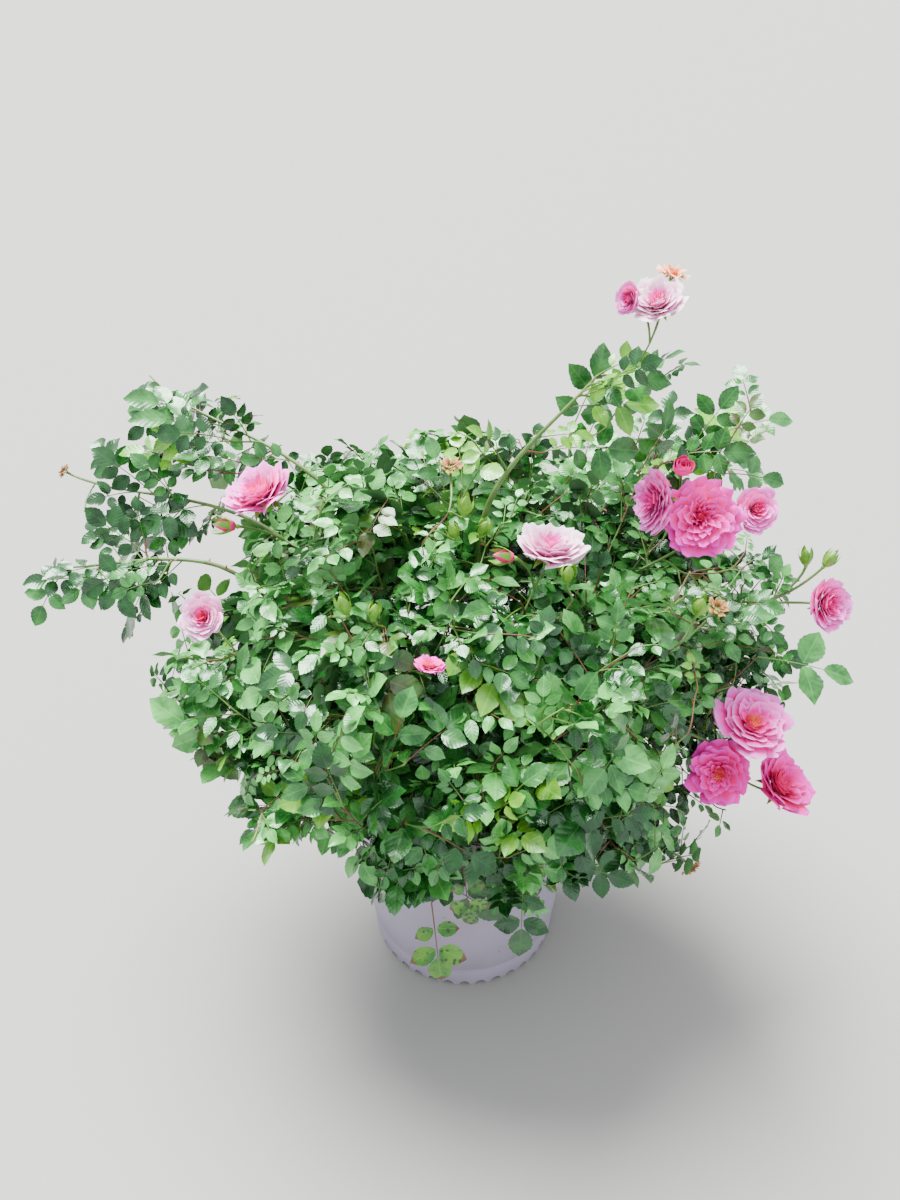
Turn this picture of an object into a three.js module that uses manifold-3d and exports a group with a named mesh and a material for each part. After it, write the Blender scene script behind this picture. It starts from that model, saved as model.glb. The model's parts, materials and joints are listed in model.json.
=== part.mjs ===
// A bushy shrub rose in flower, growing in a round plastic nursery pot.
// Millimetres, +Z up, +X to the right and +Y to the back. The origin is the centre of the pot's
// flat underside. Every mesh is one closed solid: the pot, its soil, the stem base, the canes
// that rise from it, the side branches, and one mass of twigs, leaves and blooms on each limb.
import * as THREE from "three";
import { mergeVertices } from "three/addons/utils/BufferGeometryUtils.js";
import Module from "manifold-3d";

const wasm = await Module();
wasm.setup();

const WELD = 1e-3; // vertices closer than this are one
const SIMPLIFY = 0.1; // a joined solid drops vertices that change its surface by less than this

// Clearances
const SEAT_GAP = 0.3; // between two solids that touch on the real plant
const SPACE_GAP = 0.8; // between the spaces of two neighbouring masses
const LIMB_CLEARANCE = 0.5; // a twig or leaf keeps this far from a limb
const POT_CLEARANCE = 1.5; // and this far from the pot and the soil

// Pot
const POT_SIDES = 36;
const POT_HEIGHT = 245;
const POT_BASE_RADIUS = 92.5;
const POT_TOP_RADIUS = 113.5;
const POT_WALL = 3;
const POT_FLOOR = 10;
const RIM_RADIUS = 117.5;
const RIM_HEIGHT = 12;
const RIM_LIP = 5;
const NOTCH_COUNT = 36;
const NOTCH_RADIUS = 4.2;
const NOTCH_DEPTH = 3;
const NOTCH_SIDES = 6;

// Soil and the stem base with its root flare
const SOIL_TOP = 215;
const SOIL_UNEVEN = 2.5;
const BASE_KNOB_RADIUS = 16;
const BASE_KNOB_HEIGHT = 18;
const BASE_FLARE_RADIUS = 27;
const BASE_SIDES = 12;

// Limbs: the canes leave the knob in two rings, measured down from straight up
const INNER_RING = 30;
const OUTER_RING = 68;
const CANE_RADIUS = 3.4;
const CANE_TIP_RADIUS = 2.3;
const BRANCH_RADIUS = 2.5;
const BRANCH_TIP_RADIUS = 1.8;
const LIMB_SIDES = 5;
const LIMB_STEPS = 5;

// Twigs and leaves
const TWIG_SIDES = 3;
const STEM_RADIUS = 2.2;
const TWIG_RADIUS = 1.7;
const TWIG_TIP_RADIUS = 1.3;
const STEM_STEPS = 4;
const STEM_SHORT = 0.9; // a mass's stem ends this many leaf lengths short of its tip
const REACH_POWER = 3; // 2 would make each mass's reach an ellipsoid, and more is fuller
const TWIG_REACH = 0.85; // twigs end inside this share of their mass's reach, and leaves go on
const LEAF_LENGTH = 76;
const LEAF_WIDTH = 46;
const LEAF_SHARE = 0.85; // no leaf is longer than this share of its mass's spread
const LEAF_THICKNESS = 1.5;
const LEAF_WIDEST = 0.45; // where the leaf is widest, as a share of its length
const LEAF_FOLD = 0.12; // rise of the leaf's sides over its midrib, as a share of its width
const LEAF_DROOP = 0.06; // drop of its tip, as a share of its length
const LEAF_OUTWARD = 1.3; // a leaf faces up, and this much outwards from the heart
const LEAF_LEAN = 0.5; // how far a side leaf leans along its twig
const TIP_LIFT = 0.15; // how far a leaf at a twig's end turns up
const LEAF_SINK = 0.6; // how far a leaf's root runs into its twig, past the twig's middle
const LEAF_SPACING = 0.25; // least distance between two leaves' middles, in leaf lengths
// Where side leaves stand: how far back from a twig's end, as a share of the twig, and on
// which side of it
const LEAF_PLACES = [
  { at: 0.22, hand: 1 },
  { at: 0.42, hand: -1 },
  { at: 0.64, hand: 1 },
  { at: 0.82, hand: -1 },
];
const LEAF_TURNS = [0.5, 0.1, 0.9, -0.3, 1.3]; // angles about its twig that a leaf tries, in radians
const TWIGS_PER_LEAF = 0.36;
const SCATTER_TRIES = 400; // points of the scatter that a mass looks at for its twig ends
const TURN_COST = 0.25; // how much a turn adds to a twig's length when it picks its joint
const JOINTS_TRIED = 4;
const ROOT_LENGTH = 4; // a twig or leaf touches nothing beyond this distance from its root

// The heart of the bush: every mass is given by its direction and reach from here
const HEART = new THREE.Vector3(10, 15, 250);

// Masses of foliage, each a space with one limb. azimuth turns from the right-hand side towards
// the back and rise is the angle above the horizontal, in degrees. reach is the distance from
// the heart to the mass's tip, spread its radius across, hold where its limb ends as a share of
// reach, and lift how much steeper the limb climbs than the mass, which then arches over. A
// limb grows from the stem base in a ring, or from a place (at) along another mass's limb (from).
const MASSES = [
  { name: "top_front", azimuth: -60, rise: 66, reach: 248, spread: 114, ring: INNER_RING },
  { name: "top_back", azimuth: 85, rise: 60, reach: 290, spread: 105, ring: INNER_RING },
  { name: "top_left", azimuth: 172, rise: 50, reach: 285, spread: 110, ring: INNER_RING },
  { name: "tall_shoot", azimuth: 19, rise: 71, reach: 405, spread: 52, ring: INNER_RING, hold: 0.64 },
  { name: "top_right", azimuth: -2, rise: 49, reach: 325, spread: 100, from: "tall_shoot", at: 0.4 },
  { name: "upper_front_left", azimuth: -135, rise: 34, reach: 258, spread: 104, ring: OUTER_RING },
  { name: "upper_front_right", azimuth: -48, rise: 34, reach: 258, spread: 104, ring: OUTER_RING },
  { name: "left", azimuth: -177, rise: 16, reach: 300, spread: 106, ring: OUTER_RING },
  { name: "right", azimuth: 4, rise: 13, reach: 290, spread: 84, ring: OUTER_RING },
  { name: "front", azimuth: -90, rise: 16, reach: 220, spread: 94, ring: OUTER_RING },
  { name: "back", azimuth: 88, rise: 20, reach: 290, spread: 108, ring: OUTER_RING },
  { name: "back_left", azimuth: 132, rise: 30, reach: 305, spread: 110, ring: OUTER_RING },
  { name: "back_right", azimuth: 42, rise: 32, reach: 320, spread: 108, ring: OUTER_RING },
  {
    name: "low_front_left", azimuth: -142, rise: -8, reach: 228, spread: 88,
    from: "upper_front_left", at: 0.4, hold: 0.56, lift: 34,
  },
  {
    name: "low_front", azimuth: -96, rise: -28, reach: 200, spread: 92,
    from: "front", at: 0.6, hold: 0.6, lift: 57,
  },
  {
    name: "low_front_right", azimuth: -44, rise: -19, reach: 208, spread: 88,
    from: "upper_front_right", at: 0.4, hold: 0.56, lift: 48,
  },
  {
    name: "low_back_left", azimuth: 146, rise: -4, reach: 245, spread: 92,
    from: "back_left", at: 0.4, hold: 0.54, lift: 30,
  },
  {
    name: "low_back_right", azimuth: 38, rise: -2, reach: 245, spread: 92,
    from: "back_right", at: 0.4, hold: 0.54, lift: 30,
  },
  {
    name: "left_upper_shoot", azimuth: 151, rise: 38, reach: 452, spread: 58,
    from: "top_left", at: 0.6, hold: 0.62,
  },
  {
    name: "left_middle_shoot", azimuth: 162, rise: 26, reach: 462, spread: 48,
    from: "back_left", at: 0.6, hold: 0.62,
  },
  {
    name: "left_lower_shoot", azimuth: 174, rise: 20, reach: 446, spread: 55,
    from: "left", at: 0.4, hold: 0.66,
  },
  {
    name: "right_upper_shoot", azimuth: 27, rise: 42, reach: 402, spread: 54,
    from: "back_right", at: 0.6, hold: 0.66,
  },
  {
    name: "right_bloom_shoot", azimuth: -1, rise: 27, reach: 335, spread: 50,
    from: "right", at: 0.6, hold: 0.66,
  },
  {
    name: "right_low_shoot", azimuth: -20, rise: 8, reach: 285, spread: 84,
    from: "right", at: 0.4, hold: 0.55,
  },
];
const MASS_DEFAULTS = { hold: 0.42, lift: 16 };
const LIMB_STRIDE = 4; // a limb that ends in a neighbour's space runs on in steps of this
const ARCH = 0.35; // how far a limb's end is turned from its mass's line towards its own climb
const LEAVES_PER_AREA = 0.00021; // leaves for each square millimetre of a mass's own surface
// The crown's underside is a cone round the pot's axis that rises outwards from the pot
const SKIRT_HEIGHT = 19; // its height where it would meet the axis
const SKIRT_SLOPE = 0.85;

// Blooms that show from a step away: place, radius across, and the side that each one faces
const BLOOMS = [
  { mass: "tall_shoot", at: [139, 60, 650], radius: 27, facing: [-0.2, -0.5, 1] },
  { mass: "top_right", at: [188, 10, 488], radius: 31, facing: [0.1, -0.8, 0.8] },
  { mass: "top_right", at: [143, 18, 498], radius: 20, facing: [-0.8, -0.4, 0.6] },
  { mass: "top_right", at: [238, 24, 486], radius: 16, facing: [0.6, -0.4, 0.8] },
  { mass: "top_front", at: [65, -20, 478], radius: 29, facing: [0, -0.5, 1] },
  { mass: "right_bloom_shoot", at: [309, 8, 402], radius: 20, facing: [0.8, -0.3, 0.5] },
  { mass: "right_low_shoot", at: [242, -58, 325], radius: 30, facing: [0.2, -0.6, 0.9] },
  { mass: "right_low_shoot", at: [215, -78, 286], radius: 25, facing: [-0.3, -0.9, 0.5] },
  { mass: "right_low_shoot", at: [280, -58, 250], radius: 25, facing: [0.5, -0.7, 0.5] },
  { mass: "top_left", at: [-172, 42, 486], radius: 26, facing: [-0.2, -0.4, 1] },
  { mass: "left", at: [-216, -20, 404], radius: 19, facing: [-0.2, -0.8, 0.8] },
];
const BLOOM_SIDES = 10;
const PETAL_RUFFLE = 0.86;
const BLOOM_NECK = 0.4; // the stalk ends this share of the bloom's radius below its middle
// Half of a bloom's outline, as shares of its radius, from the calyx up to its heart
const BLOOM_PROFILE = [
  [0, -0.5],
  [0.25, -0.42],
  [0.75, -0.1],
  [1, 0.22],
  [0.62, 0.42],
  [0, 0.3],
];

const COLOURS = {
  pot: 0xb9b2c4,
  soil: 0x3b2a20,
  bark: 0x6d7a45,
  cane: 0x5f7f3a,
  leaf: 0x2f5a2c,
};

const UP = new THREE.Vector3(0, 0, 1);
const NEARLY_ONE = 0.94; // two directions whose product is more than this are too alike

// Materials

function potMaterial() {
  return new THREE.MeshStandardMaterial({ color: COLOURS.pot, roughness: 0.55, metalness: 0 });
}

function soilMaterial() {
  return new THREE.MeshStandardMaterial({ color: COLOURS.soil, roughness: 0.95, metalness: 0 });
}

function barkMaterial() {
  return new THREE.MeshStandardMaterial({ color: COLOURS.bark, roughness: 0.8, metalness: 0 });
}

function caneMaterial() {
  return new THREE.MeshStandardMaterial({ color: COLOURS.cane, roughness: 0.6, metalness: 0 });
}

function foliageMaterial() {
  return new THREE.MeshStandardMaterial({ color: COLOURS.leaf, roughness: 0.4, metalness: 0 });
}

// Solids and meshes

// Faces that meet share their vertices. It is done before a shape is placed, while the
// doubles still agree to the last digit.
function welded(geometry) {
  geometry.deleteAttribute("normal");
  geometry.deleteAttribute("uv");
  return mergeVertices(geometry, WELD);
}

function solidOf(weldedGeometry) {
  const mesh = new wasm.Mesh({
    numProp: 3,
    vertProperties: weldedGeometry.attributes.position.array,
    triVerts: new Uint32Array(weldedGeometry.index.array),
  });
  return new wasm.Manifold(mesh);
}

function geometryOf(solid) {
  const mesh = solid.getMesh();
  const geometry = new THREE.BufferGeometry();
  geometry.setAttribute("position", new THREE.BufferAttribute(new Float32Array(mesh.vertProperties), 3));
  geometry.setIndex(new THREE.BufferAttribute(new Uint32Array(mesh.triVerts), 1));
  geometry.computeVertexNormals();
  return geometry;
}

function addMesh(group, name, solid, material) {
  const mesh = new THREE.Mesh(geometryOf(solid), material);
  mesh.name = name;
  group.add(mesh);
}

function overlaps(solid, others) {
  return others.some((other) => !solid.intersect(other).isEmpty());
}

// Directions and steady, seeded scatter

function direction(azimuth, rise) {
  const a = THREE.MathUtils.degToRad(azimuth);
  const r = THREE.MathUtils.degToRad(rise);
  return new THREE.Vector3(Math.cos(r) * Math.cos(a), Math.cos(r) * Math.sin(a), Math.sin(r));
}

// The n-th point of an even scatter in the unit cube. Each seed shifts the whole scatter.
function scatter(n, seed) {
  const steps = [0.8191725134, 0.6710436067, 0.5497004779];
  return steps.map((step, axis) => (0.5 + n * step + seed * (0.37 + 0.19 * axis)) % 1);
}

// A vector square to the given one, turned by an angle about it
function sideways(along, angle) {
  const level = new THREE.Vector3().crossVectors(along, UP);
  if (level.length() < 0.05) level.set(1, 0, 0);
  level.addScaledVector(along, -level.dot(along)).normalize();
  return level.applyAxisAngle(along, angle);
}

// Pot and soil

function potRadiusAt(z) {
  return POT_BASE_RADIUS + ((POT_TOP_RADIUS - POT_BASE_RADIUS) * z) / POT_HEIGHT;
}

function lathe(profile, sides) {
  const points = profile.map(([r, z]) => new THREE.Vector2(r, z));
  const geometry = welded(new THREE.LatheGeometry(points, sides));
  geometry.rotateX(Math.PI / 2);
  return solidOf(geometry);
}

function makePot() {
  const underRim = POT_HEIGHT - RIM_HEIGHT;
  const body = lathe(
    [
      [0, 0],
      [POT_BASE_RADIUS - 1.5, 0],
      [POT_BASE_RADIUS, 1.5],
      [potRadiusAt(underRim), underRim],
      [RIM_RADIUS, underRim + 1.5],
      [RIM_RADIUS, POT_HEIGHT - 2],
      [RIM_RADIUS - 1.5, POT_HEIGHT],
      [RIM_RADIUS - RIM_LIP, POT_HEIGHT],
      [potRadiusAt(underRim) - POT_WALL, underRim],
      [potRadiusAt(POT_FLOOR) - POT_WALL, POT_FLOOR],
      [0, POT_FLOOR],
    ],
    POT_SIDES,
  );
  const notches = [];
  for (let i = 0; i < NOTCH_COUNT; i += 1) {
    const round = new THREE.CylinderGeometry(NOTCH_RADIUS, NOTCH_RADIUS, 2 * NOTCH_DEPTH, NOTCH_SIDES);
    const cutter = welded(round);
    cutter.rotateZ(Math.PI / 2);
    cutter.translate(POT_BASE_RADIUS, 0, 0);
    cutter.rotateZ(((i + 0.5) / NOTCH_COUNT) * 2 * Math.PI);
    notches.push(solidOf(cutter));
  }
  return body.subtract(wasm.Manifold.union(notches));
}

function makeSoil() {
  const inset = POT_WALL + SEAT_GAP;
  const bottom = POT_FLOOR + SEAT_GAP;
  const edge = potRadiusAt(SOIL_TOP) - inset;
  return lathe(
    [
      [0, bottom],
      [potRadiusAt(bottom) - inset, bottom],
      [edge, SOIL_TOP - SOIL_UNEVEN],
      [edge * 0.8, SOIL_TOP + SOIL_UNEVEN],
      [edge * 0.5, SOIL_TOP - SOIL_UNEVEN],
      [BASE_FLARE_RADIUS + 3, SOIL_TOP],
      [0, SOIL_TOP],
    ],
    POT_SIDES,
  );
}

// What no twig or leaf may touch: the pot and the soil, a little larger than they are
function potSpace() {
  const grown = POT_CLEARANCE;
  return lathe(
    [
      [0, -grown],
      [POT_BASE_RADIUS + grown, -grown],
      [RIM_RADIUS + grown, POT_HEIGHT - RIM_HEIGHT - grown],
      [RIM_RADIUS + grown, POT_HEIGHT + grown],
      [RIM_RADIUS - RIM_LIP - grown, POT_HEIGHT + grown],
      [RIM_RADIUS - RIM_LIP - grown, SOIL_TOP + SOIL_UNEVEN + grown],
      [0, SOIL_TOP + SOIL_UNEVEN + grown],
    ],
    POT_SIDES,
  );
}

// The stem base: a swollen knob on a root flare, cut flat at the soil
const KNOB_CENTRE = new THREE.Vector3(0, 0, SOIL_TOP + SEAT_GAP + BASE_KNOB_HEIGHT);

function makeStemBase() {
  const foot = SOIL_TOP + SEAT_GAP;
  const profile = [
    [0, foot],
    [BASE_FLARE_RADIUS, foot],
    [BASE_FLARE_RADIUS * 0.82, foot + 3],
    [BASE_KNOB_RADIUS * 1.02, foot + 9],
  ];
  for (const polar of [95, 70, 48, 25]) {
    const a = THREE.MathUtils.degToRad(polar);
    profile.push([BASE_KNOB_RADIUS * Math.sin(a), KNOB_CENTRE.z + BASE_KNOB_RADIUS * Math.cos(a)]);
  }
  profile.push([0, KNOB_CENTRE.z + BASE_KNOB_RADIUS]);
  return lathe(profile, BASE_SIDES);
}

// Limbs and twigs: a cylinder bent along a curve and tapered

function bentLimb(curve, startRadius, endRadius, sides, steps) {
  const geometry = welded(new THREE.CylinderGeometry(1, 1, 1, sides, steps));
  const frames = curve.computeFrenetFrames(steps, false);
  const position = geometry.attributes.position;
  const point = new THREE.Vector3();
  for (let i = 0; i < position.count; i += 1) {
    const along = position.getY(i) + 0.5;
    const step = Math.round(along * steps);
    const radius = THREE.MathUtils.lerp(startRadius, endRadius, along);
    curve.getPointAt(along, point);
    point.addScaledVector(frames.binormals[step], position.getX(i) * radius);
    point.addScaledVector(frames.normals[step], position.getZ(i) * radius);
    position.setXYZ(i, point.x, point.y, point.z);
  }
  return solidOf(geometry);
}

function bow(start, startDirection, end, endDirection) {
  const pull = start.distanceTo(end) / 3;
  return new THREE.CubicBezierCurve3(
    start,
    start.clone().addScaledVector(startDirection, pull),
    end.clone().addScaledVector(endDirection, -pull),
    end,
  );
}

// The space of each mass: a blunt ellipsoid round the line from its limb to its tip, cut off by
// a plane between it and each neighbour

function inOwnSpace(mass, point, everyMass) {
  for (const other of everyMass) {
    if (other === mass) continue;
    const power = point.distanceToSquared(other.centre) - other.spread ** 2;
    const ownPower = point.distanceToSquared(mass.centre) - mass.spread ** 2;
    if ((power - ownPower) / (2 * other.centre.distanceTo(mass.centre)) < SPACE_GAP / 2) return false;
  }
  return true;
}

function inReach(mass, point) {
  const offset = point.clone().sub(mass.centre);
  const along = Math.abs(offset.dot(mass.axis)) / mass.halfLength;
  const across = offset.projectOnPlane(mass.axis).length() / mass.spread;
  return along ** REACH_POWER + across ** REACH_POWER <= 1;
}

function overSkirt(point) {
  return point.z >= SKIRT_HEIGHT + SKIRT_SLOPE * Math.hypot(point.x, point.y);
}

function placeMasses() {
  const masses = MASSES.map((named, seed) => ({ ...MASS_DEFAULTS, ...named, seed: seed + 1 }));
  for (const mass of masses) {
    mass.tip = HEART.clone().addScaledVector(direction(mass.azimuth, mass.rise), mass.reach);
    const climb = direction(mass.azimuth, mass.rise + mass.lift);
    mass.limbEnd = HEART.clone().addScaledVector(climb, mass.reach * mass.hold);
    mass.centre = mass.limbEnd.clone().lerp(mass.tip, 0.5);
    mass.axis = mass.tip.clone().sub(mass.limbEnd).normalize();
    mass.halfLength = mass.limbEnd.distanceTo(mass.tip) * 0.5;
    mass.heading = mass.axis.clone().lerp(climb, ARCH).normalize();
  }
  // A limb that would end in a neighbour's space runs on to its own
  for (const mass of masses) {
    const stride = mass.axis.clone().multiplyScalar(LIMB_STRIDE);
    while (!inOwnSpace(mass, mass.limbEnd.clone().sub(stride), masses)) mass.limbEnd.add(stride);
  }
  return masses;
}

function limbStart(mass, limbs) {
  if (mass.ring) {
    const out = direction(mass.azimuth, 90 - mass.ring);
    const start = KNOB_CENTRE.clone().addScaledVector(out, BASE_KNOB_RADIUS + SEAT_GAP);
    return { start, out, radius: CANE_RADIUS, tipRadius: CANE_TIP_RADIUS };
  }
  const parent = limbs.get(mass.from);
  const step = Math.round(mass.at * LIMB_STEPS);
  const frames = parent.curve.computeFrenetFrames(LIMB_STEPS, false);
  const origin = parent.curve.getPointAt(step / LIMB_STEPS);
  const radius = THREE.MathUtils.lerp(parent.radius, parent.tipRadius, step / LIMB_STEPS);
  // The branch leaves square to the flat side of its parent that faces its own mass best
  const wanted = mass.limbEnd.clone().sub(origin).normalize();
  let out = null;
  for (let side = 0; side < LIMB_SIDES; side += 1) {
    const angle = ((side + 0.5) / LIMB_SIDES) * 2 * Math.PI;
    const normal = frames.binormals[step].clone().multiplyScalar(Math.sin(angle));
    normal.addScaledVector(frames.normals[step], Math.cos(angle));
    if (!out || normal.dot(wanted) > out.dot(wanted)) out = normal;
  }
  const apothem = radius * Math.cos(Math.PI / LIMB_SIDES);
  const start = origin.addScaledVector(out, apothem + SEAT_GAP);
  return { start, out, radius: BRANCH_RADIUS, tipRadius: BRANCH_TIP_RADIUS };
}

function makeLimbs(masses) {
  const limbs = new Map();
  for (const mass of [...masses].sort((a, b) => Boolean(a.from) - Boolean(b.from))) {
    const limb = limbStart(mass, limbs);
    limb.curve = bow(limb.start, limb.out, mass.limbEnd, mass.heading);
    limb.solid = bentLimb(limb.curve, limb.radius, limb.tipRadius, LIMB_SIDES, LIMB_STEPS);
    const wide = limb.radius + LIMB_CLEARANCE;
    const wideTip = limb.tipRadius + LIMB_CLEARANCE;
    limb.keepClear = bentLimb(limb.curve, wide, wideTip, LIMB_SIDES, LIMB_STEPS);
    limbs.set(mass.name, limb);
  }
  return limbs;
}

// Leaves and blooms

function placedPoints(geometry, origin, xAxis, yAxis, zAxis) {
  const matrix = new THREE.Matrix4().makeBasis(xAxis, yAxis, zAxis).setPosition(origin);
  geometry.applyMatrix4(matrix);
  const position = geometry.attributes.position;
  const points = [];
  for (let i = 0; i < position.count; i += 1) {
    points.push(new THREE.Vector3().fromBufferAttribute(position, i));
  }
  return points;
}

// A leaf of eight faces: pointed at both ends, widest below its middle, folded up a little
// along the midrib and drooping at the tip
function leafGeometry(length, width) {
  const geometry = welded(new THREE.OctahedronGeometry(1));
  const position = geometry.attributes.position;
  for (let i = 0; i < position.count; i += 1) {
    const x = position.getX(i);
    const y = position.getY(i);
    const z = position.getZ(i);
    const along = Math.abs(x) > 0.5 ? (x + 1) / 2 : LEAF_WIDEST;
    const height = (z * LEAF_THICKNESS) / 2 + Math.abs(y) * width * LEAF_FOLD;
    const droop = x > 0.5 ? length * LEAF_DROOP : 0;
    position.setXYZ(i, along * length - LEAF_SINK, (y * width) / 2, height - droop);
  }
  return geometry;
}

function placeLeaf(root, along, face, length) {
  const side = new THREE.Vector3().crossVectors(face, along).normalize();
  const normal = new THREE.Vector3().crossVectors(along, side);
  const geometry = leafGeometry(length, (length * LEAF_WIDTH) / LEAF_LENGTH);
  return { points: placedPoints(geometry, root, along, side, normal), solid: solidOf(geometry) };
}

// A full rosette: a cup on its calyx, with petals that stand out in every second column
function bloomGeometry(radius) {
  const points = BLOOM_PROFILE.map(([r, z]) => new THREE.Vector2(r * radius, z * radius));
  const geometry = welded(new THREE.LatheGeometry(points, BLOOM_SIDES));
  geometry.rotateX(Math.PI / 2);
  const position = geometry.attributes.position;
  for (let i = 0; i < position.count; i += 1) {
    const column = Math.round((Math.atan2(position.getY(i), position.getX(i)) / (2 * Math.PI)) * BLOOM_SIDES);
    const ruffle = Math.abs(column) % 2 ? PETAL_RUFFLE : 1;
    position.setXY(i, position.getX(i) * ruffle, position.getY(i) * ruffle);
  }
  return geometry;
}

function placeBloom(bloom) {
  const facing = new THREE.Vector3(...bloom.facing).normalize();
  const xAxis = sideways(facing, 0);
  const yAxis = new THREE.Vector3().crossVectors(facing, xAxis);
  const geometry = bloomGeometry(bloom.radius);
  const centre = new THREE.Vector3(...bloom.at);
  return { points: placedPoints(geometry, centre, xAxis, yAxis, facing), geometry, facing, centre };
}

// A mass of foliage grows by one rule: a stem runs on from the limb to the tip, an even
// scatter of twig ends fills the mass's space, each end joins the nearest twig already there,
// and leaves stand at each end and on both sides of each twig. Whatever would leave the space
// or touch a limb or the pot is skipped.
class MassGrowth {
  constructor(mass, masses, limb, obstacles) {
    this.mass = mass;
    this.masses = masses;
    this.obstacles = obstacles;
    this.joints = [];
    this.pieces = [];
    this.leafMiddles = [];
    this.leafLimit = Math.round(4 * Math.PI * mass.halfLength * mass.spread * LEAVES_PER_AREA);
    this.leafLength = Math.min(LEAF_LENGTH, mass.spread * LEAF_SHARE);
    this.leafCount = 0;
    this.growStem(limb);
  }

  fits(points) {
    return points.every((p) => inOwnSpace(this.mass, p, this.masses));
  }

  withinReach(points) {
    return points.every((p) => inReach(this.mass, p) && overSkirt(p));
  }

  addTwig(from, end, radius, endRadius) {
    const heading = end.clone().sub(from.at).normalize();
    const clear = from.at.clone().addScaledVector(heading, ROOT_LENGTH);
    const beyond = bentLimb(new THREE.LineCurve3(clear, end), radius, endRadius, TWIG_SIDES, 1);
    const solid = bentLimb(new THREE.LineCurve3(from.at, end), radius, endRadius, TWIG_SIDES, 1);
    if (!this.fits([end]) || overlaps(solid, this.obstacles) || overlaps(beyond, this.pieces)) return false;
    this.pieces.push(solid);
    this.joints.push({ at: end, heading, radius: endRadius, from });
    return true;
  }

  growStem(limb) {
    const { mass } = this;
    const start = mass.limbEnd.clone().addScaledVector(mass.heading, SEAT_GAP);
    const end = mass.tip.clone().addScaledVector(mass.axis, -STEM_SHORT * this.leafLength);
    const curve = bow(start, mass.heading, end, mass.axis);
    const steps = STEM_STEPS;
    const startRadius = Math.min(STEM_RADIUS, limb.tipRadius);
    const stem = bentLimb(curve, startRadius, TWIG_TIP_RADIUS, TWIG_SIDES, steps);
    if (overlaps(stem, this.obstacles)) throw new Error("the stem of " + mass.name + " has no clear way");
    this.pieces.push(stem);
    let from = { at: start, heading: mass.heading, radius: startRadius, from: null };
    for (let i = 1; i <= steps; i += 1) {
      const radius = THREE.MathUtils.lerp(startRadius, TWIG_TIP_RADIUS, i / steps);
      from = { at: curve.getPointAt(i / steps), heading: curve.getTangentAt(i / steps), radius, from };
      this.joints.push(from);
    }
  }

  // The new twig leaves the nearest joint that it can leave without a sharp turn or a clash
  growTo(end, radius, endRadius) {
    const cost = (joint) => {
      const way = end.clone().sub(joint.at);
      return way.length() * (1 + TURN_COST * way.angleTo(joint.heading) ** 2);
    };
    const nearest = [...this.joints].sort((a, b) => cost(a) - cost(b)).slice(0, JOINTS_TRIED);
    return nearest.some((joint) => this.addTwig(joint, end, Math.min(radius, joint.radius), endRadius));
  }

  // Twig ends in the order of their distance from the limb, so that twigs grow outwards
  twigEnds(count) {
    const { mass } = this;
    const ends = [];
    const across = sideways(mass.axis, 0);
    const other = new THREE.Vector3().crossVectors(mass.axis, across);
    for (let n = 0; n < SCATTER_TRIES && ends.length < count; n += 1) {
      const [a, b, c] = scatter(n, mass.seed);
      const point = mass.centre.clone();
      point.addScaledVector(mass.axis, (2 * a - 1) * mass.halfLength * TWIG_REACH);
      point.addScaledVector(across, (2 * b - 1) * mass.spread * TWIG_REACH);
      point.addScaledVector(other, (2 * c - 1) * mass.spread * TWIG_REACH);
      if (this.withinReach([point]) && this.fits([point])) ends.push(point);
    }
    return ends.sort((p, q) => p.distanceTo(mass.limbEnd) - q.distanceTo(mass.limbEnd));
  }

  growTwigs() {
    for (const end of this.twigEnds(Math.round(this.leafLimit * TWIGS_PER_LEAF))) {
      this.growTo(end, TWIG_RADIUS, TWIG_TIP_RADIUS);
    }
  }

  addBloom(bloom) {
    const { points, geometry, facing, centre } = placeBloom(bloom);
    const neck = centre.clone().addScaledVector(facing, -BLOOM_NECK * bloom.radius);
    if (!this.fits(points) || !this.growTo(neck, TWIG_RADIUS, TWIG_RADIUS)) {
      throw new Error("the bloom at " + bloom.at + " has no room in the space of " + this.mass.name);
    }
    this.joints.pop();
    this.pieces.push(solidOf(geometry));
    this.leafMiddles.push(centre);
  }

  addLeaf(root, along, length) {
    const outward = root.clone().sub(HEART).normalize();
    const face = UP.clone().addScaledVector(outward, LEAF_OUTWARD).normalize();
    if (Math.abs(face.dot(along)) > NEARLY_ONE) face.copy(sideways(along, 0));
    const middle = root.clone().addScaledVector(along, length * 0.5);
    if (this.leafMiddles.some((m) => m.distanceTo(middle) < LEAF_SPACING * length)) return false;
    const leaf = placeLeaf(root, along, face, length);
    if (!this.fits(leaf.points) || !this.withinReach(leaf.points)) return false;
    const clear = root.clone().addScaledVector(along, ROOT_LENGTH);
    const blade = placeLeaf(clear, along, face, length - ROOT_LENGTH).solid;
    if (overlaps(leaf.solid, this.obstacles) || overlaps(blade, this.pieces)) return false;
    this.pieces.push(leaf.solid);
    this.leafMiddles.push(middle);
    this.leafCount += 1;
    return true;
  }

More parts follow.
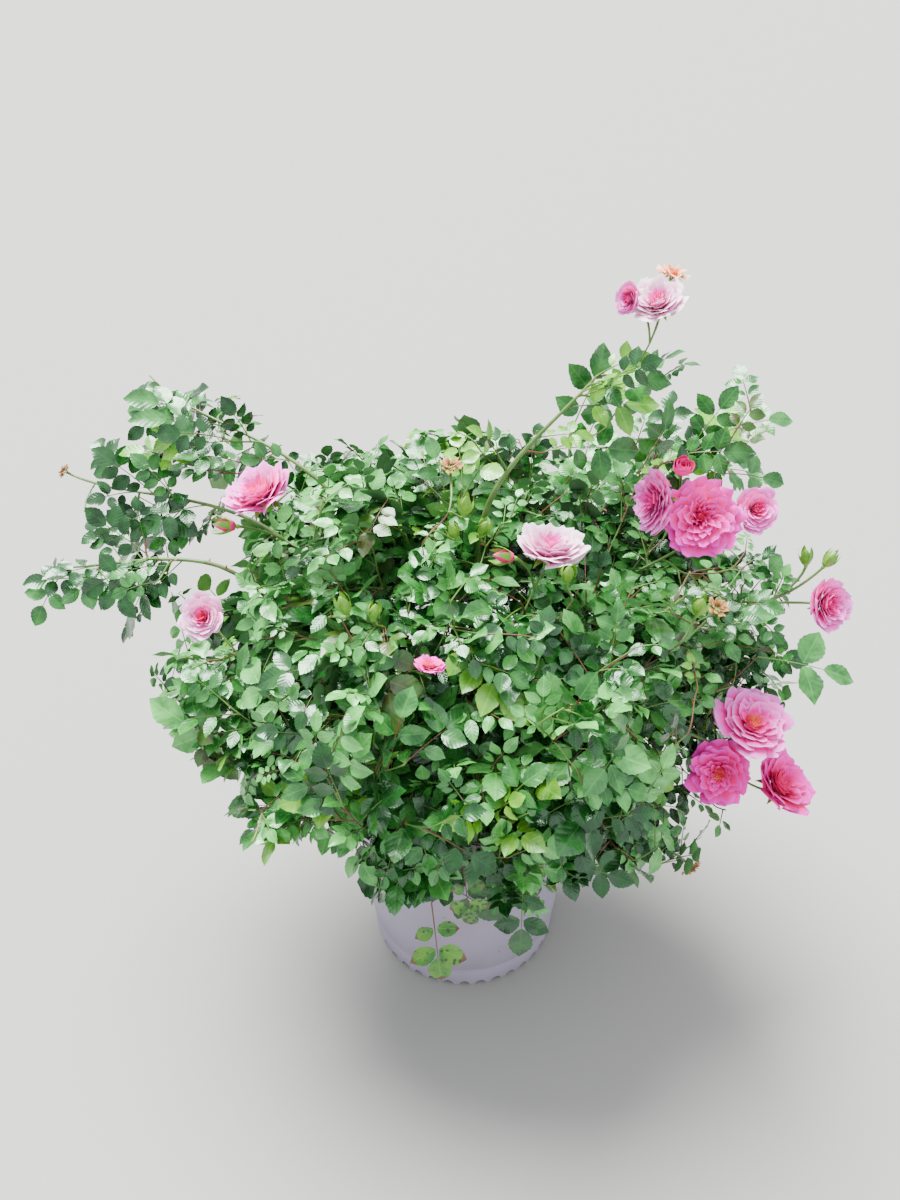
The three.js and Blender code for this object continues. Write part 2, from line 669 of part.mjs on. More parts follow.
  growLeaves() {
    const ends = this.joints.filter((joint) => !this.joints.some((other) => other.from === joint));
    for (const joint of ends) {
      const along = joint.heading.clone().addScaledVector(UP, TIP_LIFT).normalize();
      this.addLeaf(joint.at, along, this.leafLength);
    }
    const outermost = (a, b) => b.at.distanceTo(this.mass.limbEnd) - a.at.distanceTo(this.mass.limbEnd);
    for (const back of LEAF_PLACES) {
      for (const joint of [...this.joints].sort(outermost)) {
        const root = joint.at.clone().lerp(joint.from.at, back.at);
        const leafAlong = (turn) => {
          const side = sideways(joint.heading, back.hand > 0 ? turn : Math.PI - turn);
          return side.addScaledVector(joint.heading, LEAF_LEAN).normalize();
        };
        if (this.leafCount < this.leafLimit) {
          LEAF_TURNS.some((turn) => this.addLeaf(root, leafAlong(turn), this.leafLength));
        }
      }
    }
  }

  // One body: the largest of the union's bodies, without loose scraps or sealed hollows
  solid() {
    const joined = wasm.Manifold.union(this.pieces).asOriginal().simplify(SIMPLIFY);
    const bodies = joined.decompose();
    return bodies.reduce((best, body) => (body.volume() > best.volume() ? body : best));
  }
}

function makeMass(mass, masses, limbs, potKeepClear) {
  const obstacles = [potKeepClear, ...[...limbs.values()].map((limb) => limb.keepClear)];
  const growth = new MassGrowth(mass, masses, limbs.get(mass.name), obstacles);
  for (const bloom of BLOOMS.filter((named) => named.mass === mass.name)) growth.addBloom(bloom);
  growth.growTwigs();
  growth.growLeaves();
  return growth.solid();
}

// The whole plant

function makeRose() {
  const group = new THREE.Group();
  addMesh(group, "pot", makePot(), potMaterial());
  addMesh(group, "potting_soil", makeSoil(), soilMaterial());
  addMesh(group, "stem_base", makeStemBase(), barkMaterial());
  const masses = placeMasses();
  const limbs = makeLimbs(masses);
  const potKeepClear = potSpace();
  for (const mass of masses) {
    const kind = mass.ring ? "cane_" : "branch_";
    addMesh(group, kind + mass.name, limbs.get(mass.name).solid, caneMaterial());
    const solid = makeMass(mass, masses, limbs, potKeepClear);
    addMesh(group, "foliage_" + mass.name, solid, foliageMaterial());
  }
  return group;
}

export default makeRose();
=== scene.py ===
# %% [markdown]
# # A shrub rose in its nursery pot
# The solid model already gives this plant its size: a pot, the soil, canes, and plain masses of
# foliage. This lesson dresses it. It grows canes and twigs first, then leaves and blooms, and
# ends with the pot. Every piece stands exactly where the solid that it replaces stands.

import json
import math
import random
from dataclasses import dataclass

import bpy
import numpy as np
from mathutils import Matrix, Vector

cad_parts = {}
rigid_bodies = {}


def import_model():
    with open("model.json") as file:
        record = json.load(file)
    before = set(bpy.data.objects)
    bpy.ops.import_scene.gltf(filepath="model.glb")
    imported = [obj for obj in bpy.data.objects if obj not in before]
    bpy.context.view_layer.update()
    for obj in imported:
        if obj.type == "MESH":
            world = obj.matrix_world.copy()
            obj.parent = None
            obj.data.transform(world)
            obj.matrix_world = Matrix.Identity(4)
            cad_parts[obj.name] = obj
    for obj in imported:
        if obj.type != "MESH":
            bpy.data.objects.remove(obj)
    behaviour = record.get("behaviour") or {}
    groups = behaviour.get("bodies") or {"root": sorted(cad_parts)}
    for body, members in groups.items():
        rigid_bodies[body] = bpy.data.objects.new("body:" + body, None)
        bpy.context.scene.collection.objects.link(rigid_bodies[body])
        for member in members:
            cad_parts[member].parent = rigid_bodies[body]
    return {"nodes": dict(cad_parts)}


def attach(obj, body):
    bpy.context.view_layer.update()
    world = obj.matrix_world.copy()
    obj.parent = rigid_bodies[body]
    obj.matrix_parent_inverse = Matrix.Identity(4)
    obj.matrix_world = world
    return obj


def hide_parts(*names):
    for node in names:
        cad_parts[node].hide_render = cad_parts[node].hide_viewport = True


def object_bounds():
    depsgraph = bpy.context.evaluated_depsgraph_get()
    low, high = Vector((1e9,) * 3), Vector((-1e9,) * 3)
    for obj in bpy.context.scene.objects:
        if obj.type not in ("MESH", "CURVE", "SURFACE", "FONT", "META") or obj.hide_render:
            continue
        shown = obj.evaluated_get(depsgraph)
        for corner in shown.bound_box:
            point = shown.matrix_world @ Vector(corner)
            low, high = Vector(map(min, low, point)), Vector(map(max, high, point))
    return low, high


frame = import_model()
CAD_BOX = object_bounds()
NODES = list(frame["nodes"])
print("solids to dress:", len(NODES))

# %% [markdown]
# ## The camera
# It looks down on the bush from the front, as a gardener standing beside it does. The focal
# length is worked out from pixels, because that is how a picture is measured: focal pixels over
# picture height is the same share as lens over sensor.

# %% Place the camera
PICTURE_WIDTH = 900
PICTURE_HEIGHT = 1200
FOCAL_PIXELS = 1040
SENSOR = 36
CAMERA_PLACE = (-0.0145, -0.704, 0.931)
CAMERA_DOWN = math.radians(36.4)


def add_object(name, data):
    """Puts a camera, a lamp or a mesh into the scene as an object."""
    made = bpy.data.objects.new(name, data)
    bpy.context.scene.collection.objects.link(made)
    return made


camera_data = bpy.data.cameras.new("camera")
camera_data.sensor_width = SENSOR
camera_data.lens = SENSOR * FOCAL_PIXELS / PICTURE_HEIGHT
camera = add_object("camera", camera_data)
camera.location = CAMERA_PLACE
camera.rotation_euler = (math.radians(90) - CAMERA_DOWN, 0, 0)
bpy.context.scene.camera = camera
print("lens:", round(camera_data.lens, 2), "mm")

# %% [markdown]
# ## Helpers for node trees
# Shaders and Geometry Nodes are both trees of nodes joined by links. One helper adds a node and
# fills its inputs in a single call: a value is set on the socket, and another node's output is
# linked to it. Another makes a tree whose sockets are listed in plain words. They keep the trees
# below short enough to read from top to bottom.

# %% Define the node helpers
SOCKET_WORDS = {"number": "Float", "whole": "Int", "colour": "Color"}  # the others keep their word
COLOUR_A = 6  # sockets of a Mix node that mixes colours
COLOUR_B = 7


def add_node(tree, kind, inputs=None, **settings):
    node = tree.nodes.new(kind)
    for key, value in settings.items():
        setattr(node, key, value)
    for key, value in (inputs or {}).items():
        if isinstance(value, bpy.types.NodeSocket):
            tree.links.new(value, node.inputs[key])
        else:
            node.inputs[key].default_value = value
    return node


def new_tree(name, kind, inputs, outputs):
    """A tree with sockets from two lists in words, such as "Size: number, Finish: material"."""
    tree = bpy.data.node_groups.new(name, kind)
    for in_out, sockets in (("INPUT", inputs), ("OUTPUT", outputs)):
        for socket in sockets.split(", "):
            label, sort = socket.split(": ")
            socket_type = "NodeSocket" + SOCKET_WORDS.get(sort, sort.title())
            tree.interface.new_socket(label, in_out=in_out, socket_type=socket_type)
    given = tree.nodes.new("NodeGroupInput").outputs
    result = tree.nodes.new("NodeGroupOutput").inputs
    return tree, given, result


def maths(tree, operation, first, second=0.0):
    return add_node(tree, "ShaderNodeMath", {0: first, 1: second}, operation=operation).outputs[0]


def times(tree, first, second):
    return maths(tree, "MULTIPLY", first, second)


def mixed(tree, share, first, second, blend="MIX"):
    inputs = {"Factor": share, COLOUR_A: first, COLOUR_B: second}
    node = add_node(tree, "ShaderNodeMix", inputs, data_type="RGBA", blend_type=blend)
    return node.outputs[2]


def spread_out(tree, value, low, high, to_low=0.0, to_high=1.0):
    inputs = {"Value": value, "From Min": low, "From Max": high, "To Min": to_low, "To Max": to_high}
    return add_node(tree, "ShaderNodeMapRange", inputs).outputs[0]


def rgb(red, green, blue):
    """A colour as it is picked on a screen, 0 to 255, turned into the linear light Blender uses."""
    shares = [channel / 255 for channel in (red, green, blue)]
    return (*[s / 12.92 if s <= 0.04045 else ((s + 0.055) / 1.055) ** 2.4 for s in shares], 1)


print("node helpers ready")

# %% [markdown]
# ## Shared shader groups
# Three effects are of use to more than one finish, so each is built once as a group with named
# sockets. Mottling drifts between two colours over the surface, as living things do. Leaf veins
# reads the leaf's own UV map, so the veins follow each leaflet. Specks gives the dried drops on a
# pot that stands outdoors, and the dark spots on old leaves. A group gives out only colours,
# masks and heights, and each material keeps its own Principled shader.

# %% Build the mottling
def object_place(tree):
    return add_node(tree, "ShaderNodeTexCoord").outputs["Object"]


def mottling_group():
    inputs = "Colour A: colour, Colour B: colour, Size: number, Contrast: number"
    tree, given, result = new_tree("Mottling", "ShaderNodeTree", inputs, "Colour: colour")
    place = object_place(tree)
    scale = maths(tree, "DIVIDE", 1.0, given["Size"])
    noise = add_node(tree, "ShaderNodeTexNoise", {"Vector": place, "Scale": scale, "Detail": 3.0})
    half = times(tree, given["Contrast"], 0.5)
    low = maths(tree, "SUBTRACT", 0.5, half)
    high = maths(tree, "ADD", 0.5, half)
    mask = spread_out(tree, noise.outputs["Fac"], low, high)
    tree.links.new(mixed(tree, mask, given["Colour A"], given["Colour B"]), result["Colour"])
    return tree


MOTTLING = mottling_group()
print("shader group:", MOTTLING.name)

# %% [markdown]
# ### Veins of a leaflet
# The group measures how far a place is from the leaflet's midrib, and a slanted sine sets pairs
# of veins along it. The skin stands a little higher between the veins, and the height says so.

# %% Build the leaf veins
def uv_parts(tree):
    """The two numbers of the place on the mesh's own UV map."""
    uv = add_node(tree, "ShaderNodeUVMap", uv_map="UVMap").outputs["UV"]
    return add_node(tree, "ShaderNodeSeparateXYZ", {0: uv}).outputs


def vein_group():
    inputs = "Pairs: number, Slant: number, Width: number"
    outputs = "Midrib: number, Veins: number, Height: number, Tip: number"
    tree, given, result = new_tree("Leaf veins", "ShaderNodeTree", inputs, outputs)
    parts = uv_parts(tree)
    across = maths(tree, "ABSOLUTE", maths(tree, "SUBTRACT", parts[1], 0.5))
    midrib = spread_out(tree, across, given["Width"], 0.0)
    slanted = maths(tree, "SUBTRACT", parts[0], times(tree, across, given["Slant"]))
    phase = times(tree, times(tree, slanted, given["Pairs"]), math.pi)
    quilt = maths(tree, "ABSOLUTE", maths(tree, "SINE", phase))
    veins = spread_out(tree, quilt, 0.35, 0.0)
    height = times(tree, quilt, spread_out(tree, across, 0.0, 0.12))
    tip = spread_out(tree, parts[0], 0.72, 0.98)
    for label, mask in (("Midrib", midrib), ("Veins", veins), ("Height", height), ("Tip", tip)):
        tree.links.new(mask, result[label])
    return tree


VEINS = vein_group()
print("shader group:", VEINS.name)

# %% [markdown]
# ### Specks
# A Voronoi pattern has one middle in each of its cells, and a place close to a middle is in a
# dot. A slow noise decides how close, so the dots are large in some places and small in others.

# %% Build the specks
def specks_group():
    tree, given, result = new_tree("Specks", "ShaderNodeTree", "Size: number, Amount: number", "Mask: number")
    place = object_place(tree)
    scale = maths(tree, "DIVIDE", 1.0, given["Size"])
    dots = add_node(tree, "ShaderNodeTexVoronoi", {"Vector": place, "Scale": scale})
    drift = add_node(tree, "ShaderNodeTexNoise", {"Vector": place, "Scale": 14.0, "Detail": 2.0})
    reach = times(tree, drift.outputs["Fac"], given["Amount"])
    mask = maths(tree, "LESS_THAN", dots.outputs["Distance"], reach)
    tree.links.new(mask, result["Mask"])
    return tree


SPECKS = specks_group()
print("shader group:", SPECKS.name)

# %% [markdown]
# ## Finishes
# Each material starts from a Principled shader. Colours come in pairs that Mottling drifts
# between. A bump gives the skin its grain, and roughness decides how wide the sky's reflection
# spreads: wet rose leaves are glossy, bark is not.

# %% Define the material helpers
def new_material(name, roughness, specular=0.5):
    material = bpy.data.materials.new(name)
    material.use_nodes = True
    shader = material.node_tree.nodes["Principled BSDF"]
    shader.inputs["Roughness"].default_value = roughness
    shader.inputs["Specular IOR Level"].default_value = specular
    return material, material.node_tree, shader.inputs


def grouped(tree, group, **values):
    inputs = {key.replace("_", " "): value for key, value in values.items()}
    return add_node(tree, "ShaderNodeGroup", inputs, node_tree=group).outputs


def bumped(tree, height, strength, distance):
    inputs = {"Height": height, "Strength": strength, "Distance": distance}
    return add_node(tree, "ShaderNodeBump", inputs).outputs["Normal"]


def grain(tree, size, detail=4.0, stretch=None):
    place = object_place(tree)
    if stretch:
        place = add_node(tree, "ShaderNodeMapping", {"Vector": place, "Scale": stretch}).outputs[0]
    inputs = {"Vector": place, "Scale": 1 / size, "Detail": detail}
    return add_node(tree, "ShaderNodeTexNoise", inputs).outputs["Fac"]


print("material helpers ready")

# %% [markdown]
# ### Leaves
# A rose leaf is glossy and deep green above, and dull and pale below. Backfacing tells the two
# sides apart. Each spray of leaves takes one of these materials as a whole, from deep green to
# the red-brown of new tips. The deep, mid and soft greens are partly painted light: darker as
# painted shade low in the bush, paler as painted sky light on top. Veins and midrib are painted
# paler, partly their own colour and partly a painted highlight, and the aged leaves have dark
# spots and brown points painted on.

# %% Make the leaf materials
LEAF_TINTS = {
    # deep, mid and soft are partly painted shade and painted sky light: darker greens for low, shaded sprays,
    # paler ones for sprays on top
    "deep": (rgb(6, 42, 8), rgb(20, 72, 20), 0.24),
    "mid": (rgb(24, 80, 24), rgb(54, 122, 48), 0.26),
    "soft": (rgb(58, 130, 52), rgb(92, 168, 82), 0.3),
    "fresh": (rgb(76, 140, 22), rgb(110, 170, 46), 0.32),
    "tip": (rgb(62, 54, 20), rgb(58, 98, 28), 0.32),
    "aged": (rgb(36, 96, 10), rgb(80, 130, 22), 0.38),
}
LEAF_WET = 0.24  # weight of the clear coat that rain leaves on them


def leaf_material(name, dark, light, roughness):
    material, tree, shader = new_material("leaf_" + name, roughness, 0.7)
    shader["Specular Tint"].default_value = (0.62, 1.0, 0.7, 1)
    shader["Coat Weight"].default_value = LEAF_WET
    shader["Coat Roughness"].default_value = 0.22
    skin = grouped(tree, MOTTLING, Colour_A=dark, Colour_B=light, Size=0.014, Contrast=0.22)
    veins = grouped(tree, VEINS, Pairs=6.0, Slant=0.9, Width=0.03)
    # painted highlight: veins, and above all the midrib, are mixed towards a paler green, partly their own
    # paler colour and partly a painted highlight along the midrib
    lit = mixed(tree, 1.0, light, (1.5, 1.5, 1.3, 1), "MULTIPLY")
    veined = mixed(tree, times(tree, veins["Veins"], 0.2), skin["Colour"], lit)
    upper = mixed(tree, times(tree, veins["Midrib"], 0.6), veined, lit)
    under = mixed(tree, 0.4, skin["Colour"], rgb(104, 138, 96))
    side = add_node(tree, "ShaderNodeNewGeometry").outputs["Backfacing"]
    whole = mixed(tree, side, upper, under)
    if name == "aged":
        spots = grouped(tree, SPECKS, Size=0.0048, Amount=0.76)["Mask"]
        spotted = mixed(tree, times(tree, spots, 0.9), whole, rgb(34, 24, 16))
        ragged = maths(tree, "ADD", veins["Tip"], times(tree, grain(tree, 0.007, 2.0), 0.9))
        whole = mixed(tree, spread_out(tree, ragged, 0.75, 0.95), spotted, rgb(88, 44, 22))
    tree.links.new(whole, shader["Base Color"])
    dull = spread_out(tree, side, 0.0, 1.0, roughness, 0.7)
    uneven = spread_out(tree, grain(tree, 0.012), 0.3, 0.7, -0.06, 0.08)
    tree.links.new(maths(tree, "ADD", dull, uneven), shader["Roughness"])
    quilt = times(tree, veins["Height"], 0.3)
    sway = times(tree, grain(tree, 0.018, 1.0), 9.0)
    tree.links.new(bumped(tree, maths(tree, "ADD", quilt, sway), 0.8, 0.0005), shader["Normal"])
    return material


LEAF_MATERIALS = {name: leaf_material(name, *tint) for name, tint in LEAF_TINTS.items()}
print("leaf materials:", ", ".join(LEAF_MATERIALS))

# %% [markdown]
# ### Stems, bark, pot and soil
# Young rose wood is green and smooth, with red where the sun reaches it, and the oldest wood is
# grey-brown and cracked. The pot is moulded plastic, pale outside and dark inside, with dust and
# dried drops on it.

# %% Make the stem, bark, pot and soil materials
def stem_material(name, dark, light, roughness, size, relief):
    material, tree, shader = new_material(name, roughness)
    skin = grouped(tree, MOTTLING, Colour_A=dark, Colour_B=light, Size=size, Contrast=0.35)
    tree.links.new(skin["Colour"], shader["Base Color"])
    furrows = grain(tree, size * 0.3, stretch=(1, 1, 0.25))
    tree.links.new(bumped(tree, furrows, 0.5, relief), shader["Normal"])
    return material


def pot_material(name, dark, light, roughness):
    material, tree, shader = new_material(name, roughness)
    skin = grouped(tree, MOTTLING, Colour_A=dark, Colour_B=light, Size=0.09, Contrast=0.5)
    dirt = grouped(tree, SPECKS, Size=0.014, Amount=0.13)
    colour = mixed(tree, times(tree, dirt["Mask"], 0.6), skin["Colour"], rgb(66, 61, 61))
    tree.links.new(colour, shader["Base Color"])
    tree.links.new(spread_out(tree, dirt["Mask"], 0, 1, roughness, 0.85), shader["Roughness"])
    tree.links.new(bumped(tree, grain(tree, 0.0012, 2.0), 0.12, 0.0003), shader["Normal"])
    return material


CANE_BARK = stem_material("cane_bark", rgb(54, 82, 30), rgb(88, 112, 50), 0.5, 0.02, 0.0008)
OLD_BARK = stem_material("old_bark", rgb(92, 78, 58), rgb(132, 120, 84), 0.8, 0.01, 0.002)
GREEN_STEM = stem_material("green_stem", rgb(60, 100, 34), rgb(98, 128, 56), 0.42, 0.02, 0.0003)
RED_STEM = stem_material("red_stem", rgb(86, 36, 32), rgb(108, 82, 48), 0.42, 0.03, 0.0003)
PRICKLE = stem_material("prickle", rgb(128, 70, 54), rgb(150, 108, 74), 0.45, 0.01, 0.0001)
DRY_STEM = stem_material("dry_stem", rgb(128, 104, 70), rgb(160, 136, 98), 0.75, 0.01, 0.0004)
POT_OUTSIDE = pot_material("pot_outside", rgb(148, 140, 158), rgb(166, 158, 177), 0.5)
POT_INSIDE = pot_material("pot_inside", rgb(30, 29, 32), rgb(48, 46, 50), 0.55)
SOIL = stem_material("soil", rgb(34, 24, 19), rgb(58, 42, 32), 0.95, 0.006, 0.003)
CHIP = stem_material("bark_chip", rgb(70, 46, 32), rgb(134, 98, 70), 0.85, 0.008, 0.001)
print("stem, pot and soil materials ready")

# %% [markdown]
# ### Petals
# The petals are darkest deep in the bloom and pale towards their edges, so the colour follows
# the petal's own UV map from claw to edge. This is partly the petal's own colour and partly
# painted light: painted shade at the claw, deep in the bloom, and a painted highlight along the
# pale rims. A little sheen gives the velvet look. Each bloom takes one of a few tints: fresh
# blooms are strong pink, open ones fade, old ones turn buff, and dried ones are brown.

# %% Make the petal materials
# claw, middle and edge: the dark claw is partly painted shade, the near-white edge partly a painted highlight
PETAL_TINTS = {
    "deep": (rgb(236, 0, 84), rgb(255, 0, 142), rgb(255, 64, 216)),
    "pink": (rgb(240, 0, 110), rgb(255, 6, 176), rgb(255, 150, 240)),
    "blush": (rgb(232, 0, 90), rgb(255, 80, 200), rgb(255, 226, 250)),
    "pale": (rgb(255, 20, 140), rgb(255, 150, 216), rgb(255, 252, 253)),
    "aged": (rgb(240, 110, 40), rgb(252, 170, 100), rgb(255, 214, 186)),
    "dried": (rgb(92, 54, 28), rgb(150, 102, 54), rgb(192, 146, 88)),
}
UNDERSIDE = 0.5  # how much more of the middle's colour the petals show underneath


def petal_material(name, claw, middle, edge):
    material, tree, shader = new_material("petal_" + name, 0.6, 0.2)
    parts = uv_parts(tree)
    along = parts[1]
    beside = maths(tree, "ABSOLUTE", maths(tree, "SUBTRACT", parts[0], 0.5))
    # painted light: the paler rims and sides are partly the petal's own pale edge and partly a painted
    # highlight, and the darker claw is partly painted shade deep in the bloom
    flank = times(tree, spread_out(tree, beside, 0.34, 0.5), spread_out(tree, along, 0.3, 0.8))
    rim = maths(tree, "MAXIMUM", flank, spread_out(tree, along, 0.7, 1.0))
    lower = mixed(tree, spread_out(tree, along, 0.1, 0.55), claw, middle)
    upper = mixed(tree, rim, lower, edge)
    inner = add_node(tree, "ShaderNodeNewGeometry").outputs["Backfacing"]
    colour = mixed(tree, inner, mixed(tree, UNDERSIDE, upper, middle), upper)
    shades = {"Colour_A": (0.9, 0.9, 0.9, 1), "Colour_B": (1, 1, 1, 1)}
    drift = grouped(tree, MOTTLING, Size=0.012, Contrast=0.5, **shades)
    tree.links.new(mixed(tree, 1.0, colour, drift["Colour"], "MULTIPLY"), shader["Base Color"])
    shader["Sheen Weight"].default_value = 0.08
    tree.links.new(bumped(tree, grain(tree, 0.0035, 3.0), 0.25, 0.0006), shader["Normal"])
    return material


PETAL_MATERIALS = {name: petal_material(name, *tint) for name, tint in PETAL_TINTS.items()}
STAMEN = stem_material("stamen", rgb(226, 150, 40), rgb(244, 196, 92), 0.6, 0.004, 0.0002)
SEPAL = stem_material("sepal", rgb(84, 138, 38), rgb(132, 176, 62), 0.42, 0.01, 0.0002)
print("petal materials:", ", ".join(PETAL_MATERIALS))

# %% [markdown]
# ## The rule that the bush grows by
# The solid model grows each mass of foliage by one rule, and the next cells write the same rule
# again, in millimetres as a gardener would measure. Every mass has a direction and a reach from
# the heart of the bush. Its limb climbs from the stem base and arches over into it.

# %% Give the plant its measures
MM = 0.001
UP = Vector((0, 0, 1))
HEART = Vector((10, 15, 250))
SOIL_TOP = 215
POT_HEIGHT = 245
RIM_RADIUS = 117.5
KNOB_CENTRE = Vector((0, 0, SOIL_TOP + 18))
KNOB_RADIUS = 16
INNER_RING = 30  # how far the canes of the two rings lean out of the stem base, in degrees
OUTER_RING = 68
CANE_RADIUS = 3.4
CANE_TIP_RADIUS = 2.3
BRANCH_RADIUS = 2.5
BRANCH_TIP_RADIUS = 1.8
STEM_TIP_RADIUS = 1.0
REACH_POWER = 3  # the higher, the blunter the ends of a mass
ARCH = 0.35  # how much of its limb's climb a stem still has at its start
STEM_LEFT = 55  # a stem ends this far short of its mass's tip, and its last leaf goes on
SLIM = 60  # a mass of less spread than this is a long slim shoot, more open than the rest


def around(angle, radius=1, height=0):
    """A point at an angle round the upright axis."""
    return Vector((radius * math.cos(angle), radius * math.sin(angle), height))


def direction(azimuth, rise):
    r = math.radians(rise)
    return around(math.radians(azimuth), math.cos(r), math.sin(r))


def scatter(n, seed):
    """The n-th point of an even scatter in the unit cube. Each seed shifts the whole scatter."""
    steps = (0.8191725134, 0.6710436067, 0.5497004779)
    return [(0.5 + n * step + seed * (0.37 + 0.19 * axis)) % 1 for axis, step in enumerate(steps)]


print("heart of the bush:", tuple(HEART), "mm")

# %% [markdown]
# ### What is known of a mass
# A small class holds what is given of a mass, and works out the places that follow from it: its
# tip, where its limb ends, its middle and its axis.

# %% Define a mass
@dataclass
class Mass:
    """A mass of foliage and the limb that carries it, with angles in degrees."""

    name: str
    azimuth: float
    rise: float
    reach: float
    spread: float
    ring: float = None  # for a cane, how far it leans out of the stem base
    source: str = None  # for a branch, the cane that it leaves
    at: float = 0.4  # where on that cane
    hold: float = 0.42  # how much of the reach the limb takes up
    lift: float = 16  # how much steeper the limb climbs than the mass

    def set_out(self, seed):
        self.seed = seed
        self.slim = self.spread < SLIM
        self.tip = HEART + direction(self.azimuth, self.rise) * self.reach
        climb = direction(self.azimuth, self.rise + self.lift)
        self.limb_end = HEART + climb * self.reach * self.hold
        self.centre = (self.limb_end + self.tip) / 2
        self.axis = (self.tip - self.limb_end).normalized()
        self.half = (self.tip - self.limb_end).length / 2
        self.heading = self.axis.lerp(climb, ARCH).normalized()


print("known of a mass:", ", ".join(Mass.__annotations__))

# %% [markdown]
# ### The masses
# The first thirteen masses fill the crown, the next five hang low round the pot, and the last
# six are the long shoots. A branch names the cane that it leaves.

# %% Set out the masses
MASSES = [
    Mass("top_front", -60, 66, 248, 114, INNER_RING),
    Mass("top_back", 85, 60, 290, 105, INNER_RING),
    Mass("top_left", 172, 50, 285, 110, INNER_RING),
    Mass("tall_shoot", 19, 71, 405, 52, INNER_RING, hold=0.64),
    Mass("top_right", -2, 49, 325, 100, source="tall_shoot"),
    Mass("upper_front_left", -135, 34, 258, 104, OUTER_RING),
    Mass("upper_front_right", -48, 34, 258, 104, OUTER_RING),
    Mass("left", -177, 16, 300, 106, OUTER_RING),
    Mass("right", 4, 13, 290, 84, OUTER_RING),
    Mass("front", -90, 16, 220, 94, OUTER_RING),
    Mass("back", 88, 20, 290, 108, OUTER_RING),
    Mass("back_left", 132, 30, 305, 110, OUTER_RING),
    Mass("back_right", 42, 32, 320, 108, OUTER_RING),
    Mass("low_front_left", -142, -8, 228, 88, source="upper_front_left", hold=0.56, lift=34),
    Mass("low_front", -96, -28, 200, 92, source="front", at=0.6, hold=0.6, lift=57),
    Mass("low_front_right", -44, -19, 208, 88, source="upper_front_right", hold=0.56, lift=48),
    Mass("low_back_left", 146, -4, 245, 92, source="back_left", hold=0.54, lift=30),
    Mass("low_back_right", 38, -2, 245, 92, source="back_right", hold=0.54, lift=30),
    Mass("left_upper_shoot", 151, 38, 452, 58, source="top_left", at=0.6, hold=0.62),
    Mass("left_middle_shoot", 162, 26, 462, 48, source="back_left", at=0.6, hold=0.62),
    Mass("left_lower_shoot", 174, 20, 446, 55, source="left", hold=0.66),
    Mass("right_upper_shoot", 27, 42, 402, 54, source="back_right", at=0.6, hold=0.66),
    Mass("right_bloom_shoot", -1, 27, 335, 50, source="right", at=0.6, hold=0.66),
    Mass("right_low_shoot", -20, 8, 285, 84, source="right", hold=0.55),
]


for number, each in enumerate(MASSES):
    each.set_out(number + 1)

CENTRES = np.array([each.centre for each in MASSES])
SPREADS = np.array([each.spread for each in MASSES])
print("masses:", len(MASSES))

# %% [markdown]
# ### Where a twig may go
# Each mass keeps to its own space. Planes between neighbours cut the crown into cells, and a
# blunt ellipsoid round each stem says how far its twigs and leaves reach. A cone round the pot
# is the crown's underside, and the pot and the soil are kept clear as well.

# %% Test a place against the spaces
SLACK = 9  # leaves of real size may cross into a neighbour's cell by this much
SKIRT_HEIGHT = 19  # of the cone at the pot's axis, and how much it climbs for each step out
SKIRT_SLOPE = 0.85
OFF_SOIL = 8  # how far twigs and leaves stay from the soil, and from the pot
OFF_POT = 3
SOIL_EDGE = RIM_RADIUS - 6
WALL_INSIDE = RIM_RADIUS - 9


def in_own_space(each, point, slack=SLACK):
    place = np.array(point)
    power = ((CENTRES - place) ** 2).sum(1) - SPREADS**2
    number = each.seed - 1
    apart = np.linalg.norm(CENTRES - CENTRES[number], axis=1)
    apart[number] = 1
    gaps = (power - power[number]) / (2 * apart)
    gaps[number] = 0
    return bool((gaps >= -slack).all())


def in_reach(each, point, share=1.0):
    offset = point - each.centre
    along = offset.dot(each.axis)
    across = (offset - each.axis * along).length
    filled = (abs(along) / each.half) ** REACH_POWER + (across / each.spread) ** REACH_POWER
    return filled <= share


def clear_below(point):
    """Whether a point is over the crown's underside, and outside the pot and the soil."""
    radius = math.hypot(point.x, point.y)
    over_skirt = point.z > SKIRT_HEIGHT + SKIRT_SLOPE * radius
    over_soil = radius > SOIL_EDGE or point.z > SOIL_TOP + OFF_SOIL
    off_wall = not WALL_INSIDE <= radius <= RIM_RADIUS + OFF_POT or point.z > POT_HEIGHT + OFF_POT
    return over_skirt and over_soil and off_wall


def squared(way, along):
    """The part of a way that is square to a heading, made 1 long."""
    return (way - along * way.dot(along)).normalized()


def sideways(along, angle):
    level = along.cross(UP)
    if level.length < 0.05:
        level = Vector((1, 0, 0))
    return Matrix.Rotation(angle, 3, along) @ squared(level, along)


print("slack between the spaces:", SLACK, "mm")

# %% [markdown]
# ### The outline from the camera
# In front, the crown ends along an upper and a lower edge that are given as the camera sees
# them, so that the pot shows below. The same sum that the camera does, a shift, a turn and a
# division by depth, says where in the picture a place shows.

